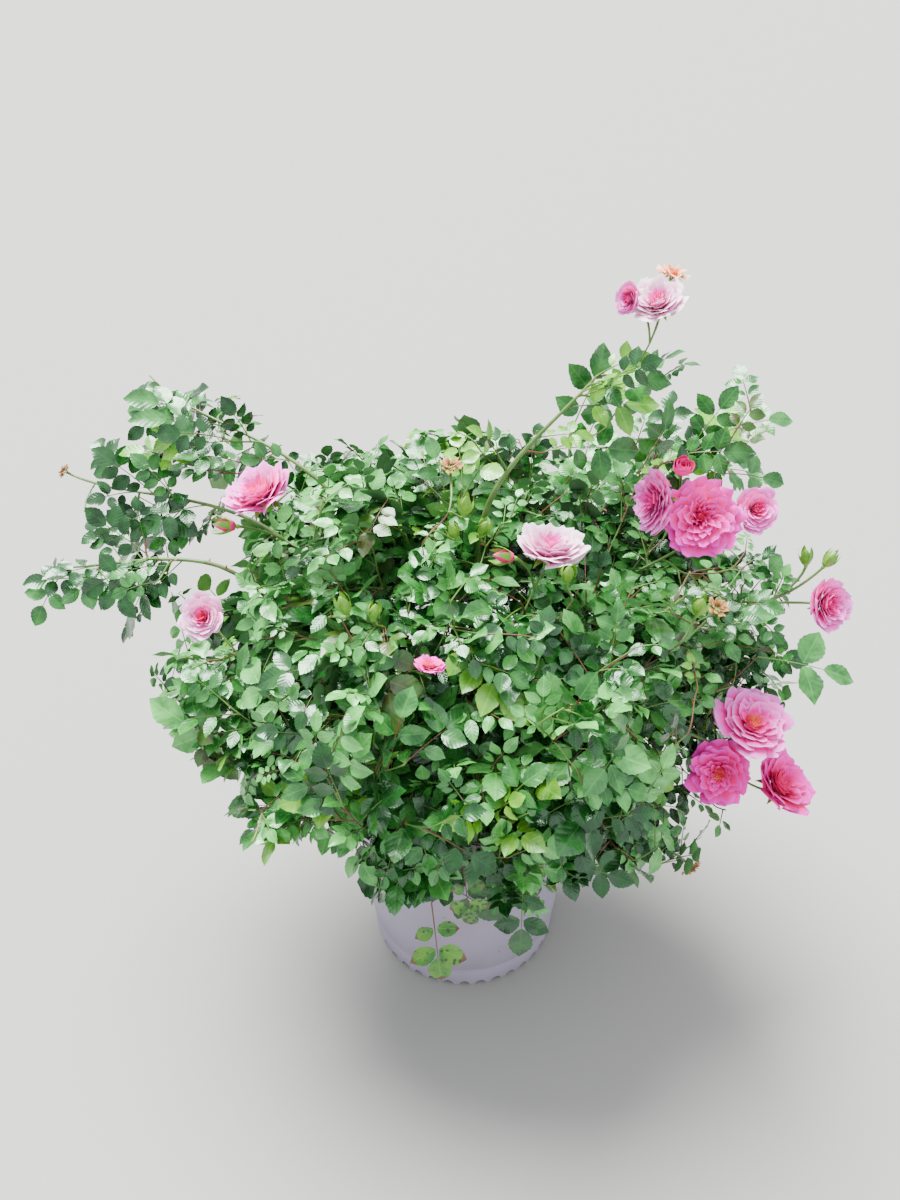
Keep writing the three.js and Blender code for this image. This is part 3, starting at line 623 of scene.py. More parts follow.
# %% Test a place against the outline
# The crown's outline as the camera sees it, in picture pixels: its upper edge, its lower edge,
# under which the pot shows, and openings between the long shoots
UPPER_EDGE = [(0, 548), (33, 500), (60, 462), (76, 432), (91, 398), (118, 378), (133, 366), (190, 374)]
UPPER_EDGE += [(216, 380), (240, 398), (262, 420), (290, 438), (312, 452), (330, 436), (356, 415), (386, 412)]
UPPER_EDGE += [(415, 418), (444, 406), (490, 416), (515, 424), (532, 404), (548, 418), (566, 420), (574, 380)]
UPPER_EDGE += [(596, 340), (625, 338), (660, 330), (722, 335), (745, 350), (768, 380), (797, 410), (828, 414)]
UPPER_EDGE += [(842, 470), (850, 560), (900, 600)]
LOWER_EDGE = [(0, 640), (60, 625), (110, 655), (150, 712), (200, 775), (245, 850), (275, 860), (300, 835)]
LOWER_EDGE += [(340, 840), (350, 888), (372, 898), (430, 898), (470, 900), (478, 870), (486, 852), (494, 870)]
LOWER_EDGE += [(502, 912), (520, 922), (548, 916), (568, 906), (600, 880), (640, 872), (700, 862)]
LOWER_EDGE += [(735, 815), (800, 760), (840, 720), (900, 720)]
OPENINGS = [
    [(62, 452), (100, 447), (104, 468), (75, 480), (58, 470)],
    [(165, 484), (212, 478), (222, 500), (200, 520), (172, 506)],
    [(60, 528), (90, 528), (98, 547), (90, 576), (76, 562), (30, 562), (36, 545)],
    [(62, 588), (112, 588), (110, 611), (101, 640), (62, 640), (72, 604)],
    [(142, 602), (178, 606), (176, 640), (145, 634)],
    [(800, 500), (900, 470), (900, 600), (846, 574), (812, 566), (794, 535)],
    [(800, 630), (900, 600), (900, 690), (835, 690), (800, 665)],
]
CAMERA_SPOT = Vector(CAMERA_PLACE) / MM


def seen_at(point):
    """Where the camera sees a point, in picture pixels from the top left corner."""
    away = point - CAMERA_SPOT
    depth = away.y * math.cos(CAMERA_DOWN) - away.z * math.sin(CAMERA_DOWN)
    rise = away.y * math.sin(CAMERA_DOWN) + away.z * math.cos(CAMERA_DOWN)
    across = PICTURE_WIDTH / 2 + FOCAL_PIXELS * away.x / depth
    return across, PICTURE_HEIGHT / 2 - FOCAL_PIXELS * rise / depth


def in_polygon(across, down, corners):
    inside = False
    for (x0, y0), (x1, y1) in zip(corners, corners[1:] + corners[:1]):
        if (y0 > down) != (y1 > down) and across < x0 + (x1 - x0) * (down - y0) / (y1 - y0):
            inside = not inside
    return inside


def in_outline(point):
    """Whether the camera sees a point inside the crown's outline, and not in an opening."""
    across, down = seen_at(point)
    if not np.interp(across, *zip(*UPPER_EDGE)) <= down <= np.interp(across, *zip(*LOWER_EDGE)):
        return False
    return not any(in_polygon(across, down, corners) for corners in OPENINGS)


print("openings between the shoots:", len(OPENINGS))

# %% [markdown]
# ### Where the blooms are
# The blooms stand where the solid model has its rosettes, and a few more at the back keep the
# bush in flower all round. Each form of bloom is described further down, where petals are made.

# %% List the blooms and the buds
# Mass, place, radius, the way it faces, form and tint
BLOOMS = [
    ("tall_shoot", (141, 56, 649), 22, (-0.3, -0.35, 0.85), "cup", "pale"),
    ("tall_shoot", (156, 78, 664), 15, (0.3, 0.1, 1), "ragged", "aged"),
    ("tall_shoot", (119, 54, 652), 13, (-0.8, -0.6, 0.2), "rosette", "pink"),
    ("top_right", (188, 10, 488), 35, (0.0, -0.85, 0.6), "quartered", "deep"),
    ("top_right", (150, 18, 498), 27, (-0.97, -0.28, 0.2), "quartered", "pink"),
    ("top_right", (236, 24, 486), 20, (0.1, -0.8, 0.7), "rosette", "pink"),
    ("top_right", (172, 30, 521), 12, (-0.1, -0.6, 1), "globe", "deep"),
    ("top_front", (65, -20, 478), 30, (0.1, 0.05, 1), "cup", "pale"),
    ("right_bloom_shoot", (308, 8, 402), 24, (0.45, -0.7, 0.45), "cup", "pink"),
    ("right_low_shoot", (242, -58, 325), 34, (0.1, -0.3, 0.95), "open", "pink"),
    ("right_low_shoot", (215, -78, 286), 28, (-0.35, -0.8, 0.5), "open", "deep"),
    ("right_low_shoot", (280, -58, 252), 31, (0.5, -0.25, 0.85), "cup", "deep"),
    ("top_left", (-173, 42, 491), 32, (-0.4, -0.1, 0.9), "cup", "pink"),
    ("left", (-219, -20, 409), 21, (-0.1, -0.75, 0.75), "rosette", "blush"),
    ("upper_front_left", (-29, -106, 430), 12, (0.25, 0.2, 1), "open", "deep"),
    ("back", (20, 268, 400), 24, (0, 0.9, 0.6), "rosette", "pink"),
    ("back_left", (-158, 230, 378), 22, (-0.5, 0.75, 0.5), "quartered", "pink"),
    ("back_right", (196, 214, 430), 26, (0.5, 0.6, 0.7), "cup", "pale"),
]
# Mass, place, length, the way it faces and tint
BUDS = [
    ("top_front", (-3, 0, 500), 20, (0.1, -0.1, 1), "green"),
    ("top_front", (-11, -8, 483), 17, (-0.3, -0.2, 1), "green"),
    ("top_front", (11, -9, 486), 17, (0.35, -0.2, 1), "green"),
    ("upper_front_left", (-93, -80, 462), 19, (-0.3, 0, 1), "green"),
    ("upper_front_left", (-72, -82, 458), 16, (0.2, 0, 1), "green"),
    ("upper_front_right", (178, -60, 446), 20, (0.1, -0.2, 1), "green"),
    ("right_bloom_shoot", (285, 20, 438), 18, (-0.2, 0, 1), "green"),
    ("right_bloom_shoot", (303, 20, 436), 18, (0.5, 0, 1), "green"),
    ("top_front", (32, -28, 474), 20, (-0.9, -0.2, 0.3), "pink"),
    ("top_front", (76, -50, 470), 19, (0.05, -0.2, 1), "green"),
    ("top_left", (-198, 34, 464), 21, (-0.9, -0.2, 0.2), "pink"),
    ("back", (46, 262, 404), 15, (0.3, 0.3, 1), "green"),
    ("back_left", (-178, 222, 392), 15, (-0.3, 0.4, 1), "green"),
]
print("blooms:", len(BLOOMS), "buds:", len(BUDS))

# %% [markdown]
# ### Clear sight for the flowers
# Blooms open where nothing is in front of them, so no twig or leaf may stand close to one, in
# the way that it faces, or before it on the way to the camera. Buds stand free too, above the
# leaves.

# %% Keep their sight clear
FLOWER_SIGHT = 120  # how far in front of a flower its sight is kept clear
SMALL_FLOWER = 24  # flowers of less radius than this are kept clear by a smaller margin
BUD_RADIUS = 0.4  # of a bud, in bud lengths
SIGHTS = []
for flowers, share in ((BLOOMS, 1), (BUDS, BUD_RADIUS)):
    for _, at, size, facing, *_ in flowers:
        SIGHTS.append((Vector(at), size * share, Vector(facing).normalized()))


def hides_bloom(point, margin=6):
    """Whether a point is close to a flower, or before it as it faces or as the camera sees it."""
    for at, radius, facing in SIGHTS:
        offset = point - at
        if offset.length > FLOWER_SIGHT:
            continue
        clear = radius + margin * min(radius / SMALL_FLOWER, 1)
        if offset.length < clear:
            return True
        to_camera = (CAMERA_SPOT - at).normalized()
        for way in (facing, to_camera) if facing.dot(to_camera) > 0 else (facing,):
            ahead = offset.dot(way)
            if ahead > 0 and (offset - way * ahead).length < clear:
                return True
    return False


print("flowers kept in sight:", len(SIGHTS))

# %% [markdown]
# ### Limbs and stems
# A limb is a curve with a heading at both ends. The twelve main canes fan out from the knob of
# the stem base, and the others branch from a cane. In each mass the stem goes on to the tip.
# A path is only points with a thickness: Geometry Nodes give it skin later.

# %% Grow the limbs and stems
def bow(start, start_heading, end, end_heading, count):
    """Points along a smooth curve, from its two ends and its heading at each."""
    pull = (end - start).length / 3
    a = start + start_heading * pull
    b = end - end_heading * pull
    points = []
    for step in range(count):
        t = step / (count - 1)
        u = 1 - t
        points.append(start * u**3 + a * (3 * t * u * u) + b * (3 * t * t * u) + end * t**3)
    return points


def tapered(points, thick, thin):
    last = len(points) - 1
    return {"points": points, "thickness": [thick + (thin - thick) * i / last for i in range(last + 1)]}


LIMB_POINTS = 36
STEM_POINTS = 24


def grow_limb(each, limbs):
    if each.ring:
        out = direction(each.azimuth, 90 - each.ring)
        start = KNOB_CENTRE + out * KNOB_RADIUS * 0.7
        thick, thin = CANE_RADIUS, CANE_TIP_RADIUS
    else:
        parent = limbs[each.source]["points"]
        index = round(each.at * (LIMB_POINTS - 1))
        start = parent[index]
        heading = (parent[index + 1] - parent[index - 1]).normalized()
        out = (squared(each.limb_end - start, heading) + heading * 0.5).normalized()
        thick, thin = BRANCH_RADIUS, BRANCH_TIP_RADIUS
    points = bow(start, out, each.limb_end, each.heading, LIMB_POINTS)
    return tapered(points, thick, thin)


LIMBS = {}
for each in sorted(MASSES, key=lambda m: bool(m.source)):
    LIMBS[each.name] = grow_limb(each, LIMBS)

STEMS = {}
for each in MASSES:
    end = each.tip - each.axis * STEM_LEFT
    points = bow(each.limb_end, each.heading, end, each.axis, STEM_POINTS)
    STEMS[each.name] = tapered(points, LIMBS[each.name]["thickness"][-1], STEM_TIP_RADIUS)
print("limbs:", len(LIMBS), "stems:", len(STEMS))

# %% [markdown]
# ### Twigs
# An even scatter of twig ends fills each mass. Each end joins the nearest twig that it can leave
# without a sharp turn, so the twigs fork as real ones do. Here they are finer and more than in
# the solids, and every twig is bowed instead of straight.

# %% Define how a twig grows
TWIG_RADIUS = 1.25
TWIG_TIP_RADIUS = 0.65
TWIG_POINTS = 8
TURN_COST = 0.25  # how much longer a sharp turn makes the way to a joint seem
LEAST_TWIG = 4


def joints_along(path, indices):
    found = []
    for index in indices:
        at = path["points"][index]
        heading = (at - path["points"][index - 1]).normalized()
        thickness = path["thickness"][index]
        found.append({"at": at, "heading": heading, "thickness": thickness, "path": path, "index": index})
    return found


def nearest_joint(end, joints):
    def cost(one):
        way = end - one["at"]
        if way.length < LEAST_TWIG:
            return math.inf
        return way.length * (1 + TURN_COST * way.angle(one["heading"]) ** 2)

    return min(joints, key=cost)


def grow_twig(end, joints, thick, thin, lift=0.3):
    start = nearest_joint(end, joints)
    way = (end - start["at"]).normalized()
    leaving = (way + start["heading"] * 0.7).normalized()
    outward = (end - HEART).normalized()
    arriving = (way + outward * 0.3 + UP * lift).normalized()
    points = bow(start["at"], leaving, end, arriving, TWIG_POINTS)
    return {**tapered(points, min(thick, start["thickness"]), thin), "root": start}


print("points of a twig:", TWIG_POINTS)

# %% [markdown]
# ### Fill the masses with twigs
# Ends that the scatter puts outside the mass or in front of a bloom are left out. The others are
# taken in order, the nearest to the limb first, because a twig can only leave wood that is there.

# %% Grow the twigs
TWIGS_PER_AREA = 0.00042
TWIG_REACH = 0.9
TWIG_SHARE = 0.8  # twigs end further inside a mass than its leaves do
TWIG_JOINTS = (3, 5, 7)  # points of a twig, and of a stem, that other twigs may leave
STEM_JOINTS = range(3, STEM_POINTS, 2)
SCATTER_TRIES = 40
SHOOT_TWIGS = 0.7  # the share of twigs that the slim shoots have


def twig_ends(each, count):
    across = sideways(each.axis, 0)
    ways = ((each.axis, each.half), (across, each.spread), (each.axis.cross(across), each.spread))
    ends = []
    n = 0
    while len(ends) < count and n < SCATTER_TRIES * count:
        point = each.centre
        for (way, reach), share in zip(ways, scatter(n, each.seed)):
            point = point + way * (2 * share - 1) * reach * TWIG_REACH
        n += 1
        inside = in_reach(each, point, TWIG_SHARE) and in_own_space(each, point, 0)
        if inside and clear_below(point) and in_outline(point) and not hides_bloom(point):
            ends.append(point)
    return sorted(ends, key=lambda p: (p - each.limb_end).length)


def grow_twigs(each):
    joints = joints_along(STEMS[each.name], STEM_JOINTS)
    area = 4 * math.pi * each.half * each.spread
    share = SHOOT_TWIGS if each.slim else 1
    count = round(area * TWIGS_PER_AREA * each.spread / 100 * share)
    twigs = []
    for end in twig_ends(each, count):
        twig = grow_twig(end, joints, TWIG_RADIUS, TWIG_TIP_RADIUS)
        twigs.append(twig)
        joints += joints_along(twig, TWIG_JOINTS)
    return twigs, joints


TWIGS = {}
JOINTS = {}
for each in MASSES:
    TWIGS[each.name], JOINTS[each.name] = grow_twigs(each)
print("twigs:", sum(len(twigs) for twigs in TWIGS.values()))

# %% [markdown]
# ### Stalks of blooms, buds and spent flowers
# Each flower grows its stalk from the nearest joint of its mass. A few flowers are long over and
# hang on as dry tufts.

# %% List the spent flowers and grow every stalk
# Mass, place, radius and the way it faces
SPENT = [
    ("top_front", (-14, 40, 520), 11, (0, 0, 1)),
    ("left_middle_shoot", (-376, 150, 452), 9, (-0.8, 0, 0.6)),
    ("upper_front_right", (196, -52, 444), 11, (0.2, -0.3, 1)),
    ("low_front_right", (206, -88, 172), 12, (0.4, -0.6, -0.3)),
    ("upper_front_right", (80, -128, 404), 8, (0, -0.5, 1)),
]
NECK = 0.4  # from a bloom's middle down to its stalk, in radii, and for a bud in lengths
BUD_NECK = 0.34
STALK_RADIUS = 1.5


def grow_stalk(mass_name, at, facing, drop):
    """A flower's stalk, which arrives along the way the flower faces."""
    end = Vector(at) - Vector(facing).normalized() * drop
    start = nearest_joint(end, JOINTS[mass_name])
    way = (end - start["at"]).normalized()
    leaving = (way + start["heading"]).normalized()
    arriving = (Vector(facing).normalized() + way * 0.6).normalized()
    points = bow(start["at"], leaving, end, arriving, TWIG_POINTS)
    stalk = tapered(points, min(STALK_RADIUS, start["thickness"] * 1.2), STALK_RADIUS * 0.8)
    return {**stalk, "root": start, "kept": TWIG_POINTS - 1}


STALKS = []
for flowers, neck in ((BLOOMS, NECK), (BUDS, BUD_NECK), (SPENT, NECK)):
    for mass_name, at, size, facing, *_ in flowers:
        STALKS.append((mass_name, grow_stalk(mass_name, at, facing, neck * size)))
print("stalks:", len(STALKS))

# %% [markdown]
# ### Compound leaves
# A rose leaf is not one blade: a thin stalk carries three, five or seven leaflets, the largest
# at its end. Each leaf here bends its own stalk down under its weight, and then sets its
# leaflets along it. Only frames are worked out now: where each leaflet sits, how it is turned,
# how large it is, and which of a few shapes it takes.

# %% Define how one leaf grows
LEAFLET_SHAPES = 8
LEAF_STEPS = 5  # stretches of a leaf's stalk, which bends between them
LEAF_STEP = 0.15  # how long each is, in leaf lengths
LEAF_STALK = (0.8, 0.4)  # half its thickness at the root and at the end
LEAFLET_STALK = 1.5
RED_STALKS = 0.3  # the share of leaf stalks that are red
# For leaves of 3, 5 and 7 leaflets: where each pair stands and how long it is, in leaf lengths
LEAF_PLANS = {
    3: [(0.5, 0.4)],
    5: [(0.34, 0.32), (0.62, 0.38)],
    7: [(0.26, 0.26), (0.46, 0.32), (0.66, 0.34)],
}
END_LEAFLET = (0.74, 0.44)
LEAFLETS = {name: [] for name in LEAF_TINTS}
LEAF_STALKS = {"green": [], "red": []}
growth = random.Random(11)


def add_leaflet(tint, at, along, face, length):
    side = face.cross(along).normalized()
    turn = Matrix((along, side, along.cross(side))).transposed().to_quaternion()
    width = length * growth.uniform(0.94, 1.12)
    curl = length * growth.uniform(0.5, 1.3)
    LEAFLETS[tint].append((at, turn, (length, width, curl), growth.randrange(LEAFLET_SHAPES)))


def tilted(along, face, lean):
    return (along + face * lean).normalized()


def grow_leaf(root, along, face, length, tint, count):
    droop = growth.uniform(0.04, 0.2)
    points = [root]
    headings = [along]
    for _ in range(LEAF_STEPS):
        headings.append((headings[-1] - UP * droop * 0.5).normalized())
        points.append(points[-1] + headings[-1] * length * LEAF_STEP)
    kind = "red" if tint in ("tip", "aged") or growth.random() < RED_STALKS else "green"
    LEAF_STALKS[kind].append(tapered(points, *LEAF_STALK))

    def on_stalk(share):
        """A place on the stalk, its heading there, and the ways across and up."""
        index = min(int(share / LEAF_STEP), LEAF_STEPS - 1)
        at = points[index].lerp(points[index + 1], share / LEAF_STEP - index)
        way = headings[index + 1]
        side = face.cross(way).normalized()
        return at, way, side, way.cross(side)

    for share, size in LEAF_PLANS[count]:
        at, way, side, up = on_stalk(share)
        fold = growth.uniform(-0.15, 0.35)
        for hand in (-1, 1):
            lean = growth.uniform(0.2, 0.55)
            out = (side * hand + way * lean).normalized()
            out = tilted(out, up, fold - droop + growth.uniform(-0.15, 0.15))
            long = length * size * growth.uniform(0.88, 1.08)
            add_leaflet(tint, at + out * LEAFLET_STALK, out, up, long)
    share, size = END_LEAFLET
    at, way, _, up = on_stalk(share)
    out = tilted(way, up, -growth.uniform(0, 0.35))
    add_leaflet(tint, at, out, up, length * size * growth.uniform(0.92, 1.08))


print("leaflets of a leaf:", ", ".join(str(count) for count in LEAF_PLANS))

# %% [markdown]
# ### Where a leaf may stand
# A leaf needs room. It is left out where it would crowd another, reach out of its mass or into
# the pot, or hide a bloom. The middles of all leaves are kept in a grid of cells, so that only
# the cells round a new leaf have to be looked through.

# %% Test where a leaf may stand
LEAF_APART = 10.5
SHOOT_LEAF_APART = 15
LEAF_MIDDLE = 0.6  # from a leaf's root to its middle, in leaf lengths
LEAF_SPAN = 1.15  # from a leaf's root to its last tip, in leaf lengths
LEAF_HALF_WIDTH = 0.32
SHOOT_SHARE = 1.9  # leaves of a slim shoot stand out further from its stem than a twig may
BOX_LOW, BOX_HIGH = [Vector(corner) / MM for corner in CAD_BOX]
LEAF_CELLS = {}


def cell_of(point):
    return tuple(math.floor(value / SHOOT_LEAF_APART) for value in point)


def crowded(point, apart):
    cell = cell_of(point)
    for step in np.ndindex(3, 3, 3):
        near = LEAF_CELLS.get(tuple(c + s - 1 for c, s in zip(cell, step)), [])
        if any((other - point).length < apart for other in near):
            return True
    return False


def in_box(point):
    return all(low - SLACK < value < high + SLACK for value, low, high in zip(point, BOX_LOW, BOX_HIGH))


def may_stand(each, root, along, length):
    middle = root + along * length * LEAF_MIDDLE
    tip = root + along * length * LEAF_SPAN
    if not (in_box(tip) and all(clear_below(place) and in_outline(place) for place in (middle, tip))):
        return False
    share, apart = (SHOOT_SHARE, SHOOT_LEAF_APART) if each.slim else (1, LEAF_APART)
    if not (in_reach(each, tip, share) and in_own_space(each, middle)) or crowded(middle, apart):
        return False
    width = length * LEAF_HALF_WIDTH
    return not any(hides_bloom(root + along * length * share, width) for share in (0.35, 0.7, 1.0))


print("room for leaves:", LEAF_APART, "mm, on slim shoots", SHOOT_LEAF_APART, "mm")

# %% [markdown]
# ### One tint for a spray
# The leaves of a twig opened together, so they share a tint. Its chances change with height:
# newer leaves are high up and old leaves near the ground, and beyond that the deep greens are
# painted shade low in the bush and the paler soft greens are painted sky light on top.

# %% Choose the tint of a spray
MIDDLE_HEIGHT = 250
OLD_LEAVES_UNDER = 260


def spray_tint(each, end):
    high = (end.z - MIDDLE_HEIGHT) / MIDDLE_HEIGHT
    shoot = 0.2 if each.slim else 0
    weights = {
        # painted light: deep green grows likelier low down, as painted shade, and soft green higher up, as
        # painted sky light
        "deep": 0.34 - 0.12 * high + shoot,
        "mid": 0.36,
        "soft": 0.26 + 0.14 * high - shoot,
        "fresh": 0.04 + 0.05 * high,
        "tip": 0.01 + 0.015 * high,
        "aged": 0.008 if end.z > OLD_LEAVES_UNDER else 0.03,
    }
    return growth.choices(list(weights), [max(weight, 0.005) for weight in weights.values()])[0]


print("tints to choose from:", len(LEAF_TINTS))

# %% [markdown]
# ### Leaves along a stem
# Leaves leave a rose's stem one after another, each two fifths of a turn round from the last.
# The rule goes back from the tip in even steps. A leaf that finds no room is turned on and made
# smaller a few times, and then left out. Each path notes how far out its last leaf stands.

# %% Grow the leaves
LEAF_LENGTH = (38, 84)
LEAF_GAP = 11
SHOOT_LEAF_LENGTH = (56, 88)
SHOOT_LEAF_GAP = 17
SHOOT_FACE = Vector((0, -0.7, 0))  # leaves of the slim shoots turn to the light in front
PHYLLOTAXIS = math.radians(144)
TRIES = 4
TIP_TRIES = 6  # the leaf at a tip is tried more often than the others
TRY_TURN = 1.3  # how far each try turns the leaf on, and what share of its length is left
TRY_LENGTH = 0.86
FORWARD = 0.55  # how much a leaf leans along its stem, and how much the one at the tip does
TIP_FORWARD = 1.6
LEAFLET_COUNTS = (5, 5, 5, 7, 3)  # most leaves have five leaflets


def leaves_on(each, path, first=0.3, longest=1):
    """Grows leaves from a path's tip back to its first share."""
    points = path["points"]
    lengths, gap = (SHOOT_LEAF_LENGTH, SHOOT_LEAF_GAP) if each.slim else (LEAF_LENGTH, LEAF_GAP)
    steps = [0.0]
    for back, at in zip(points, points[1:]):
        steps.append(steps[-1] + (at - back).length)
    tint = spray_tint(each, points[-1])
    phase = growth.uniform(0, 2 * math.pi)
    gaps = max(1, round(steps[-1] * (1 - first) / gap))
    for number in range(gaps + 1):
        run = steps[-1] * (1 - (1 - first) * number / gaps)
        index = min(max(int(np.searchsorted(steps, run)), 1), len(points) - 1)
        share = (run - steps[index - 1]) / (steps[index] - steps[index - 1])
        root = points[index - 1].lerp(points[index], share)
        heading = (points[index] - points[index - 1]).normalized()
        outward = (root - HEART).normalized()
        for attempt in range(TIP_TRIES if number == 0 else TRIES):
            side = sideways(heading, phase + number * PHYLLOTAXIS + attempt * TRY_TURN)
            side = (side + UP * 0.35 + outward * 0.25).normalized()
            along = (side + heading * (TIP_FORWARD if number == 0 else FORWARD)).normalized()
            length = growth.uniform(*lengths) * longest * TRY_LENGTH**attempt
            if not may_stand(each, root, along, length):
                continue
            jitter = Vector([growth.uniform(-0.35, 0.35) for _ in range(3)])
            face = UP + (SHOOT_FACE + jitter if each.slim else outward * 0.75) + jitter
            face = squared(face, along)
            middle = root + along * length * LEAF_MIDDLE
            LEAF_CELLS.setdefault(cell_of(middle), []).append(middle)
            grow_leaf(root, along, face, length, tint, growth.choice(LEAFLET_COUNTS))
            path["kept"] = max(path.get("kept", 0), index)
            break


for each in MASSES:
    leaves_on(each, STEMS[each.name], 0.15)
    for twig in TWIGS[each.name]:
        leaves_on(each, twig)
by_name = {each.name: each for each in MASSES}
for mass_name, stalk in STALKS:
    leaves_on(by_name[mass_name], stalk, 0.2, longest=0.6)
print("leaves:", sum(len(found) for found in LEAF_CELLS.values()))

# %% [markdown]
# ### Single leaves
# A few leaves show singly, so they are placed one by one: three hang down over the pot's front, and
# two stand out at the right. Each gets a twig of its own from the nearest joint of its mass.

# %% Add the single leaves
# Mass, root, length, tint, leaflets and the way it points
SINGLE_LEAVES = [
    ("low_front", (-30, -150, 206), 64, "aged", 5, (0.17, -0.8, -1)),
    ("low_front", (46, -148, 242), 62, "deep", 5, (-0.05, -0.8, -1)),
    ("low_front", (-4, -150, 254), 50, "aged", 5, (0.2, -0.8, -1)),
    ("right_low_shoot", (242, -34, 378), 76, "mid", 3, (1, -0.1, -0.05)),
    ("right_low_shoot", (232, -12, 372), 54, "deep", 5, (1, -0.1, -0.05)),
]
for mass_name, root, length, tint, count, way in SINGLE_LEAVES:
    root = Vector(root)
    along = Vector(way).normalized()
    hangs = along.z < -0.5
    twig = grow_twig(root, JOINTS[mass_name], TWIG_RADIUS, TWIG_TIP_RADIUS, -0.3 if hangs else 0.3)
    TWIGS[mass_name].append({**twig, "kept": TWIG_POINTS - 1})
    face = squared(Vector((0, -1, 0.35) if hangs else (0.1, -0.6, 1)), along)
    grow_leaf(root, along, face, length, tint, count)
print("leaflets:", {name: len(found) for name, found in LEAFLETS.items()})

# %% [markdown]
# ### Pruning
# A twig that ends in nothing looks dead, so each one is cut back to its last leaf or fork. The
# newest twigs come first, because what they keep decides how much their parents must keep. A few
# of the bare ones stay, for a real bush has some dry twigs too.

# %% Prune the twigs
DRY_STEP = 4  # of the bare twigs on live wood, one in this many stays


def prune(path):
    last = path.get("kept", 0)
    root = path.get("root")
    if last and root:
        root["path"]["kept"] = max(root["path"].get("kept", 0), root["index"])
    if last:
        path["points"] = path["points"][: last + 1]
        path["thickness"] = path["thickness"][: last + 1]


def on_live_wood(twig):
    return twig["root"]["index"] <= twig["root"]["path"].get("kept", 0)


ALL_TWIGS = [twig for found in TWIGS.values() for twig in found]
for path in reversed([*STEMS.values(), *ALL_TWIGS, *[stalk for _, stalk in STALKS]]):
    prune(path)
LIVE_TWIGS = [twig for twig in ALL_TWIGS if twig.get("kept")]
DRY_TWIGS = [twig for twig in ALL_TWIGS if not twig.get("kept") and on_live_wood(twig)][::DRY_STEP]
print("live twigs:", len(LIVE_TWIGS), "dry twigs:", len(DRY_TWIGS))

# %% [markdown]
# ## Geometry Nodes that give paths a skin
# Every cane, stem, twig and leaf stalk is a path with a thickness at each point. One tree turns
# paths into tubes: Mesh to Curve, then Curve to Mesh with a circle that the thickness scales,
# and then noise that lifts the skin along its normals, so that bark has real relief.

# %% Build the tree for tubes
def geometry(tree, kind, inputs=None, output=0, **settings):
    """Adds a geometry node and gives back one of its outputs."""
    return add_node(tree, "GeometryNode" + kind, inputs, **settings).outputs[output]


def attribute(tree, name, data_type="FLOAT"):
    return geometry(tree, "InputNamedAttribute", {"Name": name}, data_type=data_type)


def end_tree(tree, shape, finish, result, smooth=True):
    """Ends a tree: copies become real mesh, shaded smooth or flat, in the given finish."""
    shape = geometry(tree, "RealizeInstances", {0: shape})
    if smooth:
        shape = geometry(tree, "SetShadeSmooth", {0: shape})
    tree.links.new(geometry(tree, "SetMaterial", {0: shape, "Material": finish}), result)
    return tree


def skin_tree():
    inputs = "Paths: geometry, Sides: whole, Relief: number, Relief Size: number, Finish: material"
    tree, given, result = new_tree("Skin along paths", "GeometryNodeTree", inputs, "Skin: geometry")
    curves = geometry(tree, "MeshToCurve", {"Mesh": given["Paths"]})
    ring = geometry(tree, "CurvePrimitiveCircle", {"Resolution": given["Sides"], "Radius": 1.0})
    inputs = {"Curve": curves, "Profile Curve": ring, "Fill Caps": True}
    tube = geometry(tree, "CurveToMesh", {**inputs, "Scale": attribute(tree, "thickness")})
    scale = maths(tree, "DIVIDE", 1.0, given["Relief Size"])
    noise = add_node(tree, "ShaderNodeTexNoise", {"Scale": scale, "Detail": 3.0}).outputs[0]
    height = times(tree, maths(tree, "SUBTRACT", noise, 0.5), given["Relief"])
    inputs = {0: geometry(tree, "InputNormal"), "Scale": height}
    lift = add_node(tree, "ShaderNodeVectorMath", inputs, operation="SCALE").outputs[0]
    raised = geometry(tree, "SetPosition", {"Geometry": tube, "Offset": lift})
    return end_tree(tree, raised, given["Finish"], result["Skin"])


SKIN = skin_tree()
print("tree:", SKIN.name)

# %% [markdown]
# ### From a tree to a piece
# A tree is run by a modifier on a source mesh, with its inputs set before it is first evaluated.
# What it grows is copied into a plain mesh, and the modifier and the source go.

# %% Define how a piece is made
def new_mesh(name, points, edges=(), faces=(), uvs=None):
    """A mesh from lists. Where UVs are given, there is one for each point."""
    mesh = bpy.data.meshes.new(name)
    mesh.from_pydata(points, edges, faces)
    if uvs:
        layer = mesh.uv_layers.new(name="UVMap")
        for index, loop in enumerate(mesh.loops):
            layer.data[index].uv = uvs[loop.vertex_index]
    return mesh


def triangles(piece):
    return sum(len(face.vertices) - 2 for face in piece.data.polygons)


def new_piece(name, mesh):
    piece = add_object(name, mesh)
    print(name, triangles(piece), "triangles")
    return piece


def smooth_piece(name, mesh, finish):
    mesh.shade_smooth()
    mesh.materials.append(finish)
    return new_piece(name, mesh)


def grown(name, source_mesh, tree, **values):
    """Runs a tree on a mesh, and keeps what it grows as a plain mesh of its own."""
    source = add_object(name + "_source", source_mesh)
    modifier = source.modifiers.new("grow", "NODES")
    modifier.node_group = tree
    for item in tree.interface.items_tree:
        key = item.name.replace(" ", "_")
        if item.in_out == "INPUT" and key in values:
            modifier[item.identifier] = values[key]
    bpy.context.view_layer.update()
    depsgraph = bpy.context.evaluated_depsgraph_get()
    mesh = bpy.data.meshes.new_from_object(source.evaluated_get(depsgraph))
    source.modifiers.remove(modifier)
    bpy.data.objects.remove(source)
    mesh.name = name
    return new_piece(name, mesh)


print("mesh helpers ready")

# %% [markdown]
# ### The woody pieces
# Each kind of path is one piece. Thick ones get more sides than thin ones, because a leaf stalk
# is too thin for its sides to show.

